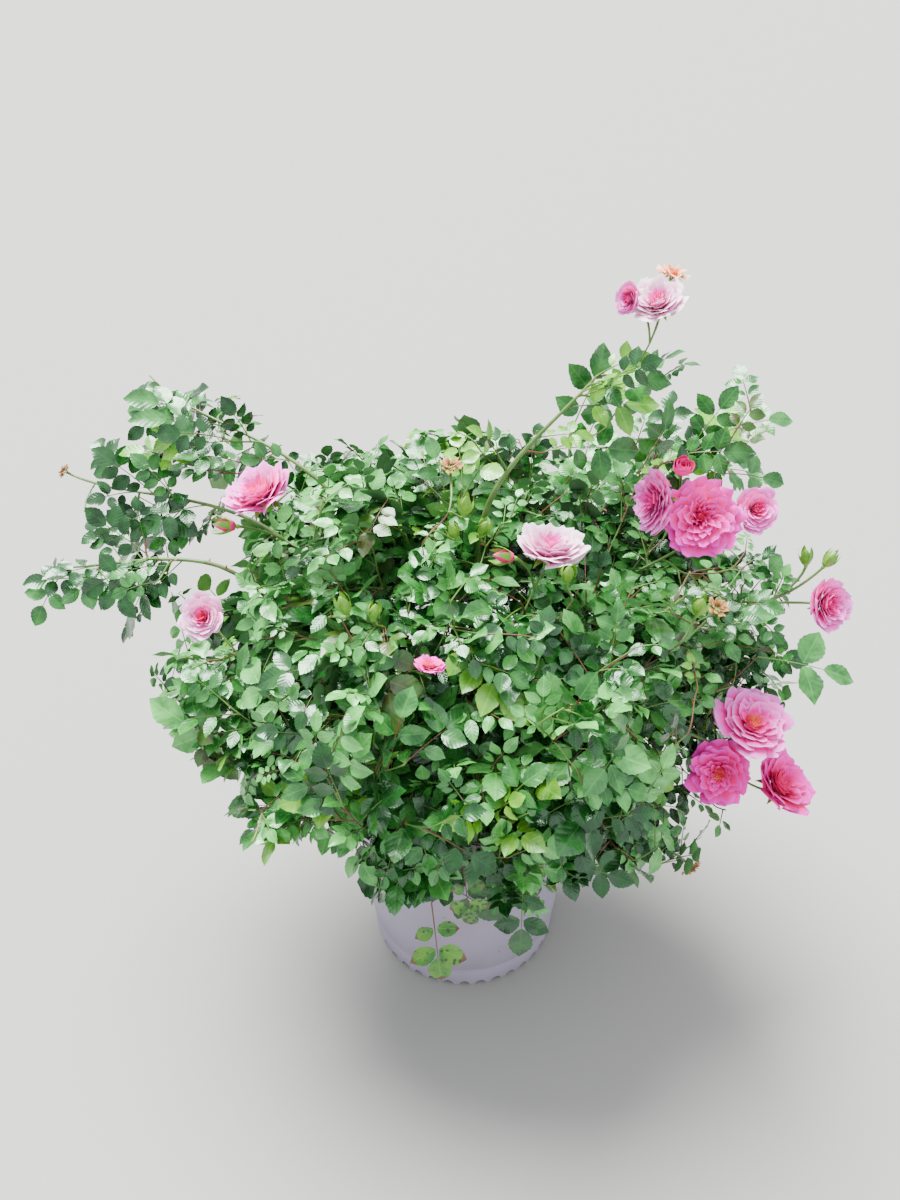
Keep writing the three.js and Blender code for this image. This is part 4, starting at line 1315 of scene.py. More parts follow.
# %% Skin the canes, stems, twigs and leaf stalks
def path_mesh(name, paths):
    points = []
    edges = []
    thickness = []
    for path in paths:
        first = len(points)
        points += [tuple(point * MM) for point in path["points"]]
        thickness += [value * MM for value in path["thickness"]]
        edges += [(i, i + 1) for i in range(first, len(points) - 1)]
    mesh = new_mesh(name, points, edges)
    mesh.attributes.new("thickness", "FLOAT", "POINT").data.foreach_set("value", thickness)
    return mesh


def skinned(name, paths, finish, sides, relief=0.0, relief_size=0.01):
    values = {"Sides": sides, "Relief": relief * MM, "Relief_Size": relief_size, "Finish": finish}
    return grown(name, path_mesh(name + "_paths", paths), SKIN, **values)


RED_STEP = 4  # one live twig in this many is red
canes = skinned("canes", LIMBS.values(), CANE_BARK, 12, 0.9, 0.006)
stems = skinned("stems", STEMS.values(), GREEN_STEM, 10, 0.3, 0.006)
red_twigs = LIVE_TWIGS[1::RED_STEP]
green_twigs = [twig for number, twig in enumerate(LIVE_TWIGS) if number % RED_STEP != 1]
twigs_green = skinned("twigs_green", green_twigs, GREEN_STEM, 5)
twigs_red = skinned("twigs_red", red_twigs, RED_STEM, 5)
twigs_dry = skinned("twigs_dry", DRY_TWIGS, DRY_STEM, 5)
stalks = skinned("flower_stalks", [stalk for _, stalk in STALKS], GREEN_STEM, 8, 0.15, 0.004)
leaf_stalks_green = skinned("leaf_stalks_green", LEAF_STALKS["green"], GREEN_STEM, 3)
leaf_stalks_red = skinned("leaf_stalks_red", LEAF_STALKS["red"], RED_STEM, 3)

# %% [markdown]
# ## Leaflets
# A leaflet is an oval blade with a toothed edge, folded a little along its midrib and curving
# down to its point. Eight shapes are made by code, each a few dozen triangles, because the bush
# holds thousands of them.

# %% Build the leaflet shapes
TEETH = 7


def leaflet_mesh(name, rng):
    width = rng.uniform(0.27, 0.34)
    fold = rng.uniform(0.16, 0.42)
    bend = rng.uniform(0.06, 0.24)
    twist = rng.uniform(-0.25, 0.25)
    wave = rng.uniform(0.02, 0.05)

    def half_width(u):
        return width * max(math.sin(math.pi * u**0.92), 0) ** (0.66 + 0.34 * u)

    def spot(u, v):
        lift = abs(v) * fold - bend * u * u + twist * v * u
        lift += wave * math.sin(u * 9 + (2 if v > 0 else 0)) * abs(v) / width
        return (u, v, lift)

    points = [spot(k / TEETH, 0) for k in range(TEETH + 1)]
    uvs = [(k / TEETH, 0.5) for k in range(TEETH + 1)]
    faces = []
    for hand in (1, -1):
        notches = [0]
        for k in range(1, TEETH):
            u = k / TEETH
            notches.append(len(points))
            points.append(spot(u, hand * half_width(u)))
            uvs.append((u, 0.5 + hand * half_width(u)))
        notches.append(TEETH)
        for k in range(TEETH):
            loop = [k, notches[k], notches[k + 1], k + 1]
            if k < TEETH - 1:
                u = (k + 0.72) / TEETH
                tooth = len(points)
                points.append(spot(u, hand * (half_width(u) * 1.05 + 0.008)))
                uvs.append((u, 0.5 + hand * half_width(u)))
                loop = [k, notches[k], tooth, notches[k + 1], k + 1]
            loop = [p for i, p in enumerate(loop) if p not in loop[:i]]
            faces.append(loop if hand < 0 else loop[::-1])
    return new_mesh(name, points, faces=faces, uvs=uvs)


def shape_collection(name, meshes):
    shapes = bpy.data.collections.new(name)
    for mesh in meshes:
        shapes.objects.link(bpy.data.objects.new(mesh.name, mesh))
    return shapes


shaping = random.Random(5)
leaflet_meshes = [leaflet_mesh(f"leaflet_{n:02d}", shaping) for n in range(LEAFLET_SHAPES)]
leaflet_shapes = shape_collection("leaflet shapes", leaflet_meshes)
print("faces in a leaflet:", len(leaflet_meshes[0].polygons))

# %% [markdown]
# ### Leaflets on their frames
# Geometry Nodes set a shape on each frame that the rule worked out: Instance on Points picks it,
# turns it and scales it, and Realize Instances makes it mesh.

# %% Set the leaflets on their frames
def shapes_in(tree, collection):
    inputs = {"Collection": collection, "Separate Children": True, "Reset Children": True}
    return geometry(tree, "CollectionInfo", inputs)


def copied(tree, points, shape, turn, size=(1, 1, 1), kind=None):
    """A copy of a shape on every point. A kind picks one of several shapes."""
    inputs = {"Points": points, "Instance": shape, "Rotation": turn, "Scale": size}
    if kind is not None:
        inputs.update({"Pick Instance": True, "Instance Index": kind})
    return geometry(tree, "InstanceOnPoints", inputs)


def copies_tree():
    inputs = "Frames: geometry, Shapes: collection, Finish: material"
    tree, given, result = new_tree("Shapes on frames", "GeometryNodeTree", inputs, "Copies: geometry")
    turn = attribute(tree, "turn", "QUATERNION")
    size = attribute(tree, "size", "FLOAT_VECTOR")
    kind = attribute(tree, "kind", "INT")
    leaflets = copied(tree, given["Frames"], shapes_in(tree, given["Shapes"]), turn, size, kind)
    return end_tree(tree, leaflets, given["Finish"], result["Copies"])


def frame_mesh(name, frames):
    places, turns, sizes, kinds = zip(*frames)
    mesh = new_mesh(name, [tuple(place * MM) for place in places])
    turn_values = [value for turn in turns for value in turn]
    size_values = [value * MM for size in sizes for value in size]
    mesh.attributes.new("turn", "QUATERNION", "POINT").data.foreach_set("value", turn_values)
    mesh.attributes.new("size", "FLOAT_VECTOR", "POINT").data.foreach_set("vector", size_values)
    mesh.attributes.new("kind", "INT", "POINT").data.foreach_set("value", kinds)
    return mesh


COPIES = copies_tree()
leaf_pieces = []
MOST_LEAFLETS = 3800  # one piece stays under 200,000 triangles
for tint, frames in LEAFLETS.items():
    for number, first in enumerate(range(0, len(frames), MOST_LEAFLETS)):
        name = f"leaves_{tint}_{number}"
        source = frame_mesh(name + "_frames", frames[first : first + MOST_LEAFLETS])
        values = {"Shapes": leaflet_shapes, "Finish": LEAF_MATERIALS[tint]}
        leaf_pieces.append(grown(name, source, COPIES, **values))

# %% [markdown]
# ## Blooms
# A garden rose is a spiral of petals: those at the heart stand up and close over each other, and
# each later one leans out further, until the last curl back. A few numbers set the form of a
# bloom, from a full rosette to the ragged rest of an old flower.

# %% List the forms of bloom
GOLDEN = math.pi * (3 - math.sqrt(5))
# Petals, then pairs for the heart and the outside: angle at the root, angle at the tip, length
# and wrap, with 90 degrees upright and 0 flat; then ruffle
FORMS = {
    "quartered": (80, (92, 42), (82, -6), (0.44, 0.82), (0.75, 0.52), 0.09),
    "rosette": (46, (88, 42), (104, 6), (0.5, 0.88), (1.2, 0.6), 0.045),
    "cup": (48, (84, 40), (94, 10), (0.42, 0.92), (0.9, 0.56), 0.075),
    "open": (42, (82, 32), (78, 0), (0.34, 0.9), (0.8, 0.52), 0.08),
    "globe": (20, (70, 30), (110, 118), (0.8, 1.15), (1.5, 1.0), 0.03),
    "ragged": (16, (80, 30), (70, -30), (0.4, 0.75), (0.7, 0.45), 0.13),
}
HEART_TINTS = {"pink": "deep", "blush": "deep", "pale": "pink"}  # a shade darker at the heart
HEART_SHARE = 0.34
FIFTH = 2 * math.pi / 5
PETAL_SPACING = 0.62  # under 1, so that more of the petals stand towards the outside
QUARTERED_TO = 0.7  # how far out the petals of a quartered bloom stand in five groups
print("bloom forms:", ", ".join(FORMS))

# %% [markdown]
# ### Sheets that become one mesh
# All petals of one tint go into one piece. A pile takes sheets one after another, each as rows of
# points, joins the points of a sheet to faces, and gives every sheet the whole of the UV map.

# %% Define a pile of sheets
class Pile:
    """Vertices, faces and UVs of many sheets that become one mesh."""

    def __init__(self):
        self.points = []
        self.faces = []
        self.uvs = []

    def add_sheet(self, rows):
        first = len(self.points)
        height = len(rows) - 1
        width = len(rows[0]) - 1
        for i, row in enumerate(rows):
            self.points += [tuple(point) for point in row]
            self.uvs += [(j / width, i / height) for j in range(width + 1)]
        for i in range(height):
            for j in range(width):
                a = first + i * (width + 1) + j
                self.faces.append((a, a + 1, a + width + 2, a + width + 1))

    def mesh(self, name):
        return new_mesh(name, self.points, faces=self.faces, uvs=self.uvs)


piles = {name: Pile() for name in [*PETAL_TINTS, "sepal", "stamen"]}
print("piles:", ", ".join(piles))

# %% [markdown]
# ### One petal
# A petal is a sheet that wraps part of the way round the bloom's axis. Instances of one petal
# would all curve alike, so each sheet is worked out in code from its place in the spiral: first
# its side view from root to tip, and then a row of points across it at each step.

# %% Bend a petal
PETAL_ROWS = 7
PETAL_COLUMNS = 8
ROLL = 0.2  # how far the sides of an outer petal roll back, which leaves its tip pointed


def petal_rows(t, turn, form, rng):
    """One petal of a bloom of radius 1. t is its place from the heart, 0, to the outside, 1."""
    _, *pairs, ruffle = FORMS[form]
    root, tip, length, wrap = [first + (last - first) * t for first, last in pairs]
    tip += rng.uniform(-10, 10)
    length *= rng.uniform(0.86, 1.1)
    phase = rng.uniform(0, 6.28)
    tilt = rng.uniform(-0.15, 0.15)
    base = 0.05 + 0.2 * t
    foot = -0.14 - 0.16 * t
    radius, height = base, foot
    profile = []
    for i in range(PETAL_ROWS + 1):
        h = i / PETAL_ROWS
        angle = math.radians(root + (tip - root) * h**1.2)
        profile.append((radius, height, h))
        radius += length / PETAL_ROWS * math.cos(angle)
        height += length / PETAL_ROWS * math.sin(angle)
    rows = []
    for radius, height, h in profile:
        row = []
        half = wrap * (0.32 + 0.68 * math.sin(math.pi / 2 * min(1.3 * h, 1)))
        for j in range(PETAL_COLUMNS + 1):
            s = 2 * j / PETAL_COLUMNS - 1
            shoulder = 1 - (0.1 * s * s + (0.2 + 0.12 * t) * s**4) * h * h
            wavy = ruffle * h * h * (math.sin(4.5 * s + phase) + 0.5 * math.sin(10 * s + 2 * phase))
            out = max(base + (radius - base) * shoulder, 0.02) + wavy * 0.7
            angle = turn + s * half + tilt * h
            up = foot + (height - foot) * shoulder - ROLL * t * t * s * s * h + wavy * 0.7
            row.append(around(angle, out, up))
        rows.append(row)
    return rows


print("points of a petal:", (PETAL_ROWS + 1) * (PETAL_COLUMNS + 1))

# %% [markdown]
# ### From petals to a bloom
# Each petal turns on from the last by the golden angle, so that none hides straight behind
# another. In a quartered bloom the inner petals gather in five groups instead.

# %% Set petals round a heart
def placed(rows, at, facing, radius):
    """Rows of points of a flower of radius 1, moved to where the flower stands."""
    axis = Vector(facing).normalized()
    across = sideways(axis, 0)
    turn = Matrix((across, axis.cross(across), axis)).transposed()
    return [[(Vector(at) + turn @ point * radius) * MM for point in row] for row in rows]


def add_bloom(spot, form, tint, rng):
    count = FORMS[form][0]
    for number in range(count):
        t = ((number + 0.5) / count) ** PETAL_SPACING
        turn = number * GOLDEN + rng.uniform(-0.25, 0.25)
        if form == "quartered" and t < QUARTERED_TO:
            turn = (round(turn / FIFTH) + rng.uniform(-0.3, 0.3)) * FIFTH
        shade = HEART_TINTS.get(tint, tint) if t < HEART_SHARE else tint
        piles[shade].add_sheet(placed(petal_rows(t, turn, form, rng), *spot))


print("petals of a quartered bloom:", FORMS["quartered"][0])

# %% [markdown]
# ### Calyx, sepals and stamens
# Under each bloom a green cup holds five pointed sepals, bent back when the flower is open. An
# open bloom shows its ring of yellow stamens. A bud is the same cup with its sepals closed round
# a tight cone of petals.

# %% Define calyxes and stamens
STAMENS = 28
SEPAL_ROWS = 5
# Radius and height of turned parts, for a flower of radius 1
CUP = [(0.02, -0.62), (0.1, -0.58), (0.17, -0.46), (0.16, -0.34), (0.1, -0.28), (0.02, -0.26)]
HEART_BUTTON = [(0.01, 0.06), (0.07, 0.03), (0.13, -0.06), (0.17, -0.2), (0.15, -0.3)]
BUD = [(0.02, -0.3), (0.3, -0.2), (0.42, 0.05), (0.4, 0.4), (0.24, 0.8), (0.08, 1.05), (0.01, 1.12)]


def lathe_rows(profile, sides):
    angles = [2 * math.pi * j / sides for j in range(sides + 1)]
    return [[around(angle, radius, height) for angle in angles] for radius, height in profile]


def sepal_rows(turn, first, last, length, width):
    """A sepal that leaves the cup at one angle and ends at another."""
    rows = []
    radius, height = 0.12, -0.34
    way = around(turn)
    side = Vector((-way.y, way.x, 0))
    for i in range(SEPAL_ROWS + 1):
        h = i / SEPAL_ROWS
        angle = first + (last - first) * h
        half = width * (1 - h) ** 0.7 * (0.6 + 0.4 * math.sin(math.pi * h))
        middle = way * radius + UP * height
        rows.append([middle + side * half * s + UP * abs(s) * half * 0.4 for s in (-1, 0, 1)])
        radius += length / SEPAL_ROWS * math.cos(angle)
        height += length / SEPAL_ROWS * math.sin(angle)
    return rows


def add_calyx(spot, first, last, length, width):
    piles["sepal"].add_sheet(placed(lathe_rows(CUP, 8), *spot))
    for number in range(5):
        rows = sepal_rows(number * FIFTH, first, last, length, width)
        piles["sepal"].add_sheet(placed(rows, *spot))


def add_heart(spot):
    """A button of folded petals that closes the middle, so that the calyx doesn't show through."""
    piles["deep"].add_sheet(placed(lathe_rows(HEART_BUTTON, 8), *spot))


def add_stamens(spot, rng):
    for number in range(STAMENS):
        share = math.sqrt((number + 0.5) / STAMENS)
        turn = number * GOLDEN
        reach = 0.04 + 0.15 * share
        top = around(turn, reach, 0.16 + rng.uniform(-0.03, 0.04))
        foot = Vector((top.x * 0.5, top.y * 0.5, -0.1))
        thin = Vector((-math.sin(turn), math.cos(turn), 0)) * 0.008
        wide = thin * 3
        head = top + UP * 0.02
        end = top + UP * 0.07
        edges = ((foot, thin), (top, thin), (head, wide), (end, thin))
        rows = [[middle - half, middle + half] for middle, half in edges]
        piles["stamen"].add_sheet(placed(rows, *spot))


print("sepals and stamens ready")

# %% [markdown]
# ### Every flower
# All petals of one tint are one piece, whichever bloom they belong to, and so are all sepals and
# all stamens. That keeps the number of pieces small.

# %% Make every flower
# First and last angle of the sepals, their length and their width
BLOOM_SEPALS = (0.3, -0.9, 0.55, 0.16)
SPENT_SEPALS = (0.2, -0.6, 0.7, 0.16)
BUD_SEPALS = {"pink": (0.9, 1.9, 1.75, 0.36), "green": (0.9, 2.2, 1.75, 0.36)}
BUD_SIZE = 0.62
LEAST_OPEN = 15  # the least radius of a bloom that shows stamens
flowering = random.Random(23)
for _, at, radius, facing, form, tint in BLOOMS:
    spot = (at, facing, radius)
    add_bloom(spot, form, tint, flowering)
    add_calyx(spot, *BLOOM_SEPALS)
    add_heart(spot)
    if form in ("open", "ragged") and radius > LEAST_OPEN:
        add_stamens(spot, flowering)
for _, at, length, facing, tint in BUDS:
    spot = (at, facing, length * BUD_SIZE)
    piles["deep" if tint == "pink" else "sepal"].add_sheet(placed(lathe_rows(BUD, 10), *spot))
    add_calyx(spot, *BUD_SEPALS[tint])
for _, at, radius, facing in SPENT:
    spot = (at, facing, radius)
    add_bloom(spot, "ragged", "dried", flowering)
    add_calyx(spot, *SPENT_SEPALS)
FLOWER_FINISHES = {"petals_" + name: finish for name, finish in PETAL_MATERIALS.items()}
FLOWER_FINISHES.update({"sepal": SEPAL, "stamen": STAMEN})
flower_pieces = []
for (name, finish), pile in zip(FLOWER_FINISHES.items(), piles.values()):
    flower_pieces.append(smooth_piece(name, pile.mesh(name), finish))

# %% [markdown]
# ## Prickles
# Rose canes carry hooked prickles. Distribute Points on Faces drops them on the skin of the
# canes and stems with a fixed seed, and its rotation output stands each one square to the skin.

# %% Grow the prickles
# Piece that they stand on, how many on a square metre, and their least and greatest length
PRICKLE_SETS = ((canes, 2600, 2.4, 4.2), (stems, 2200, 1.4, 2.8))
PRICKLE_SIDES = 5
# Height, radius and lean of a prickle of length 1
PRICKLE_ROWS = ((-0.2, 0.55, 0), (0.25, 0.32, 0.02), (0.65, 0.14, 0.12), (1.0, 0.02, 0.34))


def prickle_mesh():
    """A flattened cone that leans over to one side, as the hook of a prickle does."""
    angles = [2 * math.pi * j / PRICKLE_SIDES for j in range(PRICKLE_SIDES + 1)]
    pile = Pile()
    rows = []
    for height, radius, lean in PRICKLE_ROWS:
        row = [(radius * math.cos(a) - lean, radius * 0.7 * math.sin(a), height) for a in angles]
        rows.append([Vector(point) for point in row])
    pile.add_sheet(rows)
    return new_mesh("prickle", pile.points, faces=pile.faces)


def drawn(tree, low, high, seed, data_type="FLOAT"):
    """A random value for each point. Each type of value has sockets of its own on the node."""
    first = {"FLOAT_VECTOR": 0, "FLOAT": 2, "INT": 4}[data_type]
    inputs = {first: low, first + 1: high, "Seed": seed}
    return add_node(tree, "FunctionNodeRandomValue", inputs, data_type=data_type).outputs[first // 2]


def prickle_tree():
    inputs = "Skin: geometry, Shape: object, Density: number, Least: number, Most: number"
    inputs += ", Seed: whole, Finish: material"
    tree, given, result = new_tree("Prickles on skin", "GeometryNodeTree", inputs, "Prickles: geometry")
    inputs = {"Mesh": given["Skin"], "Density": given["Density"], "Seed": given["Seed"]}
    spots = add_node(tree, "GeometryNodeDistributePointsOnFaces", inputs).outputs
    shape = geometry(tree, "ObjectInfo", {"Object": given["Shape"]}, "Geometry")
    size = drawn(tree, given["Least"], given["Most"], given["Seed"])
    prickles = copied(tree, spots["Points"], shape, spots["Rotation"], size)
    return end_tree(tree, prickles, given["Finish"], result["Prickles"])


prickle_shape = add_object("prickle_shape", prickle_mesh())
PRICKLES = prickle_tree()
prickle_pieces = []
for skin, density, least, most in PRICKLE_SETS:
    values = {"Shape": prickle_shape, "Density": density, "Least": least * MM, "Most": most * MM}
    values.update({"Seed": 3, "Finish": PRICKLE})
    prickle_pieces.append(grown(skin.name + "_prickles", skin.data.copy(), PRICKLES, **values))
bpy.data.objects.remove(prickle_shape)

# %% [markdown]
# ## The stem base
# Just over the soil the canes leave a knobbly old stump, with a flare where the roots start. A
# lathe gives its body, and noise pushes it in and out so that it looks grown, not turned.

# %% Make the stem base
from mathutils import noise as fractal

STUMP_SIDES = 48
STUMP_ROUGH = 0.0045
STUMP_LUMPS = 0.009


def lathe_mesh(name, profile, sides, rough=0.0, size=0.01):
    """A closed turned body. rough pushes its skin in and out, by noise of the given size."""
    points = []
    faces = []
    for radius, height in profile[1:-1]:
        for j in range(sides):
            way = around(2 * math.pi * j / sides)
            push = fractal.noise(Vector((way.x * radius, way.y * radius, height)) / size) * rough
            points.append(tuple(way * max(radius + push, 0) + UP * (height + push * 0.3)))
    rings = len(profile) - 2
    for i in range(rings - 1):
        for j in range(sides):
            k = (j + 1) % sides
            faces.append((i * sides + j, i * sides + k, (i + 1) * sides + k, (i + 1) * sides + j))
    for ring, (_, height), flip in ((0, profile[0], True), (rings - 1, profile[-1], False)):
        middle = len(points)
        points.append((0, 0, height))
        for j in range(sides):
            k = (j + 1) % sides
            a, b = ring * sides + j, ring * sides + k
            faces.append((b, a, middle) if flip else (a, b, middle))
    return new_mesh(name, points, faces=faces)


def in_metres(profile):
    return [(radius * MM, height * MM) for radius, height in profile]


def arc(centre_radius, centre_height, radius, first, last, steps):
    angles = [math.radians(first + (last - first) * i / steps) for i in range(steps + 1)]
    return [(centre_radius + radius * math.cos(a), centre_height + radius * math.sin(a)) for a in angles]


foot = SOIL_TOP + 0.3
stump_profile = [(0, foot), (27, foot), (25, foot + 1.5), (21, foot + 4), (17, foot + 8), (15.5, foot + 12)]
stump_profile += arc(0, KNOB_CENTRE.z, KNOB_RADIUS, -10, 84, 12)
stump_profile += [(0, KNOB_CENTRE.z + KNOB_RADIUS)]
values = (in_metres(stump_profile), STUMP_SIDES, STUMP_ROUGH, STUMP_LUMPS)
stump = smooth_piece("stem_base_bark", lathe_mesh("stem_base_bark", *values), OLD_BARK)

# %% [markdown]
# ## The pot
# The nursery pot is one moulded wall: a foot ring round a hollow base, a wall that widens
# upwards, and a rolled rim. Its profile is a list of radii and heights, from the middle of the
# base out, up the outside, over the rim and down the inside.

# %% Draw the pot's profile
BASE_RADIUS = 92.5
TOP_RADIUS = 113.5
WALL = 3
FLOOR = 10
RIM_DROP = 12
GROOVE = 0.8  # depth of the groove round the wall, over the arches
HOLLOW = 7  # the base sits this far up inside the foot ring, so that water can drain


def wall_radius(height):
    return BASE_RADIUS + (TOP_RADIUS - BASE_RADIUS) * height / POT_HEIGHT


def pot_profile():
    under = POT_HEIGHT - RIM_DROP
    profile = [(0, HOLLOW), (BASE_RADIUS - 5, HOLLOW), (BASE_RADIUS - 3.6, HOLLOW - 1.5)]
    profile += [(BASE_RADIUS - 3.4, 0), (BASE_RADIUS - 1, 0)]
    profile += arc(BASE_RADIUS - 1, 1, 1, -60, 0, 3)
    profile += [(wall_radius(22), 22), (wall_radius(24) - GROOVE, 24), (wall_radius(28) - GROOVE, 28)]
    profile += [(wall_radius(h), h) for h in (30, 80, 130, 180, 226, under)]
    profile += arc(RIM_RADIUS - 1.5, under + 2, 1.5, -70, 0, 4)
    profile += arc(RIM_RADIUS - 2.5, POT_HEIGHT - 2.5, 2.5, 0, 180, 10)
    profile += [(RIM_RADIUS - 5.2, POT_HEIGHT - 5), (wall_radius(under) - WALL + 0.4, under + 1)]
    profile += [(wall_radius(h) - WALL, h) for h in (under, 180, 100, 40)]
    profile += arc(wall_radius(FLOOR) - WALL - 3, FLOOR + 3, 3, 0, -90, 4)
    profile += [(0, FLOOR)]
    return in_metres(profile)


print("pot:", 2 * RIM_RADIUS, "mm wide,", POT_HEIGHT, "mm high")

# %% [markdown]
# ### Drain arches
# The profile is turned into the body, and a tree cuts small arches out of the foot ring: a
# circle of points carries the cutters, and Mesh Boolean takes them away in one go.

# %% Turn the pot and cut the arches
POT_SIDES = 160
ARCHES = 36
ARCH_WIDTH = 5.2  # half the width of a drain arch
ARCH_HEIGHT = 6.6
CUTTER_SIDES = 24
CUTTER_REACH = 4.8  # how far a cutter goes in and out from the foot ring


def arch_tree():
    inputs = "Body: geometry, Cutter: object, Count: whole, Ring Radius: number, Finish: material"
    tree, given, result = new_tree("Drain arches", "GeometryNodeTree", inputs, "Body: geometry")
    ring = geometry(tree, "MeshCircle", {"Vertices": given["Count"], "Radius": given["Ring Radius"]})
    cutter = geometry(tree, "ObjectInfo", {"Object": given["Cutter"]}, "Geometry")
    step = maths(tree, "DIVIDE", 2 * math.pi, given["Count"])
    angle = times(tree, geometry(tree, "InputIndex"), step)
    turn = add_node(tree, "ShaderNodeCombineXYZ", {2: angle}).outputs[0]
    cutters = geometry(tree, "RealizeInstances", {0: copied(tree, ring, cutter, turn)})
    cut = geometry(tree, "MeshBoolean", {0: given["Body"], 1: cutters}, operation="DIFFERENCE")
    return end_tree(tree, cut, given["Finish"], result["Body"], smooth=False)


def arch_cutter():
    profile = [(0, -CUTTER_REACH), (1, -CUTTER_REACH), (1, CUTTER_REACH), (0, CUTTER_REACH)]
    mesh = lathe_mesh("arch_cutter", profile, CUTTER_SIDES)
    mesh.transform(Matrix.Diagonal((ARCH_HEIGHT * MM, ARCH_WIDTH * MM, MM, 1)))
    mesh.transform(Matrix.Rotation(math.radians(90), 4, "Y"))
    return add_object("arch_cutter", mesh)


cutter = arch_cutter()
values = {"Cutter": cutter, "Count": ARCHES, "Ring_Radius": BASE_RADIUS * MM, "Finish": POT_OUTSIDE}
pot = grown("pot_shell", lathe_mesh("pot_blank", pot_profile(), POT_SIDES), arch_tree(), **values)
bpy.data.objects.remove(cutter)

# %% [markdown]
# ### Two finishes on one mesh
# The pot is pale outside and dark inside. Each face takes its finish by the way it faces, inwards
# or outwards, and the top of the rim is dark too. Faces that meet at a sharp angle keep an edge.

# %% Finish the pot
INSIDE_FROM = FLOOR * 0.9
DARK_RIM = 4  # the dark finish comes this far down from the rim's top
SHARP = math.radians(40)
pot.data.materials.clear()
for finish in (POT_OUTSIDE, POT_INSIDE):
    pot.data.materials.append(finish)
for face in pot.data.polygons:
    middle = face.center
    outward = face.normal.x * middle.x + face.normal.y * middle.y
    inner = outward < 0 and middle.z > INSIDE_FROM * MM
    rim_top = middle.z > (POT_HEIGHT - DARK_RIM) * MM
    face.material_index = 1 if inner or rim_top else 0
pot.data.shade_smooth()
pot.data.set_sharp_from_angle(angle=SHARP)
print("dark faces:", sum(face.material_index for face in pot.data.polygons))

# %% [markdown]
# ## The soil
# The pot is filled with bark mix. A turned body with a rough, uneven top is the bulk of it. It
# stays just clear of the pot's wall.

# %% Make the soil
SOIL_RINGS = 26
SOIL_SWELL = 2.5
SOIL_GAP = 0.3  # between the soil and the pot's wall
SOIL_SIDES = 96
SOIL_ROUGH = 0.0012
SOIL_LUMPS = 0.005


def soil_profile():
    bottom = FLOOR + SOIL_GAP
    edge = wall_radius(SOIL_TOP) - WALL - SOIL_GAP
    profile = [(0, bottom), (wall_radius(bottom) - WALL - SOIL_GAP, bottom)]
    profile += [(edge, SOIL_TOP - SOIL_SWELL)]
    for i in range(1, SOIL_RINGS):
        radius = edge * (1 - i / SOIL_RINGS)
        swell = SOIL_SWELL * math.sin(radius / edge * 9)
        profile.append((radius, SOIL_TOP + swell * min(1, (1 - radius / edge) * 4)))
    profile.append((0, SOIL_TOP))
    return in_metres(profile)


values = (soil_profile(), SOIL_SIDES, SOIL_ROUGH, SOIL_LUMPS)
soil = smooth_piece("soil_body", lathe_mesh("soil_body", *values), SOIL)

# %% [markdown]
# ### Loose chips
# Chips of bark lie on the soil. Distribute Points on Faces scatters them over its top, and
# random turns and sizes hide that only six chips were made.

# %% Scatter the chips
CHIP_SHAPES = 6
CHIPS_OVER = SOIL_TOP - 6  # chips lie only on skin that is higher than this
CHIP_VALUES = {"Density": 42000, "Least": 0.0025, "Most": 0.0085, "Tumble": 0.5, "Seed": 9}


def chip_mesh(name, rng):
    """A flat splinter of bark: a box of eight corners, each pushed about."""
    points = []
    for x in (-1, 1):
        for y in (-1, 1):
            for z in (-1, 1):
                length = x * rng.uniform(0.7, 1.1)
                points.append((length, y * rng.uniform(0.3, 0.6), z * rng.uniform(0.1, 0.25)))
    faces = [(0, 1, 3, 2), (4, 6, 7, 5), (0, 4, 5, 1), (2, 3, 7, 6), (0, 2, 6, 4), (1, 5, 7, 3)]
    return new_mesh(name, points, faces=faces)


def chip_tree():
    inputs = "Ground: geometry, Shapes: collection, Density: number, Least: number, Most: number"
    inputs += ", Tumble: number, Seed: whole, Finish: material"
    tree, given, result = new_tree("Chips on soil", "GeometryNodeTree", inputs, "Chips: geometry")
    place = add_node(tree, "ShaderNodeSeparateXYZ", {0: geometry(tree, "InputPosition")}).outputs
    below = maths(tree, "LESS_THAN", place[2], CHIPS_OVER * MM)
    inputs = {"Geometry": given["Ground"], "Selection": below}
    top = geometry(tree, "DeleteGeometry", inputs, domain="FACE")
    inputs = {"Mesh": top, "Density": given["Density"], "Seed": given["Seed"]}
    spots = geometry(tree, "DistributePointsOnFaces", inputs, "Points")
    tumble = given["Tumble"]
    back = times(tree, tumble, -1.0)
    low = add_node(tree, "ShaderNodeCombineXYZ", {0: back, 1: back, 2: 0.0}).outputs[0]
    high = add_node(tree, "ShaderNodeCombineXYZ", {0: tumble, 1: tumble, 2: 6.28}).outputs[0]
    turn = drawn(tree, low, high, given["Seed"], "FLOAT_VECTOR")
    size = drawn(tree, given["Least"], given["Most"], given["Seed"])
    kind = drawn(tree, 0, CHIP_SHAPES - 1, given["Seed"], "INT")
    chips = copied(tree, spots, shapes_in(tree, given["Shapes"]), turn, size, kind)
    return end_tree(tree, chips, given["Finish"], result["Chips"], smooth=False)


chip_meshes = [chip_mesh(f"chip_{n}", shaping) for n in range(CHIP_SHAPES)]
chip_shapes = shape_collection("chip shapes", chip_meshes)
values = {"Shapes": chip_shapes, "Finish": CHIP, **CHIP_VALUES}
chips = grown("soil_chips", soil.data.copy(), chip_tree(), **values)

# %% [markdown]
# ## Tidy up and floor
# The shapes that were only copied go. The floor is plain and pale, and far wider than the
# picture shows.

# %% Clear the shapes and lay the floor
for shapes in (leaflet_shapes, chip_shapes):
    for shape in list(shapes.objects):
        bpy.data.objects.remove(shape)
    bpy.data.collections.remove(shapes)

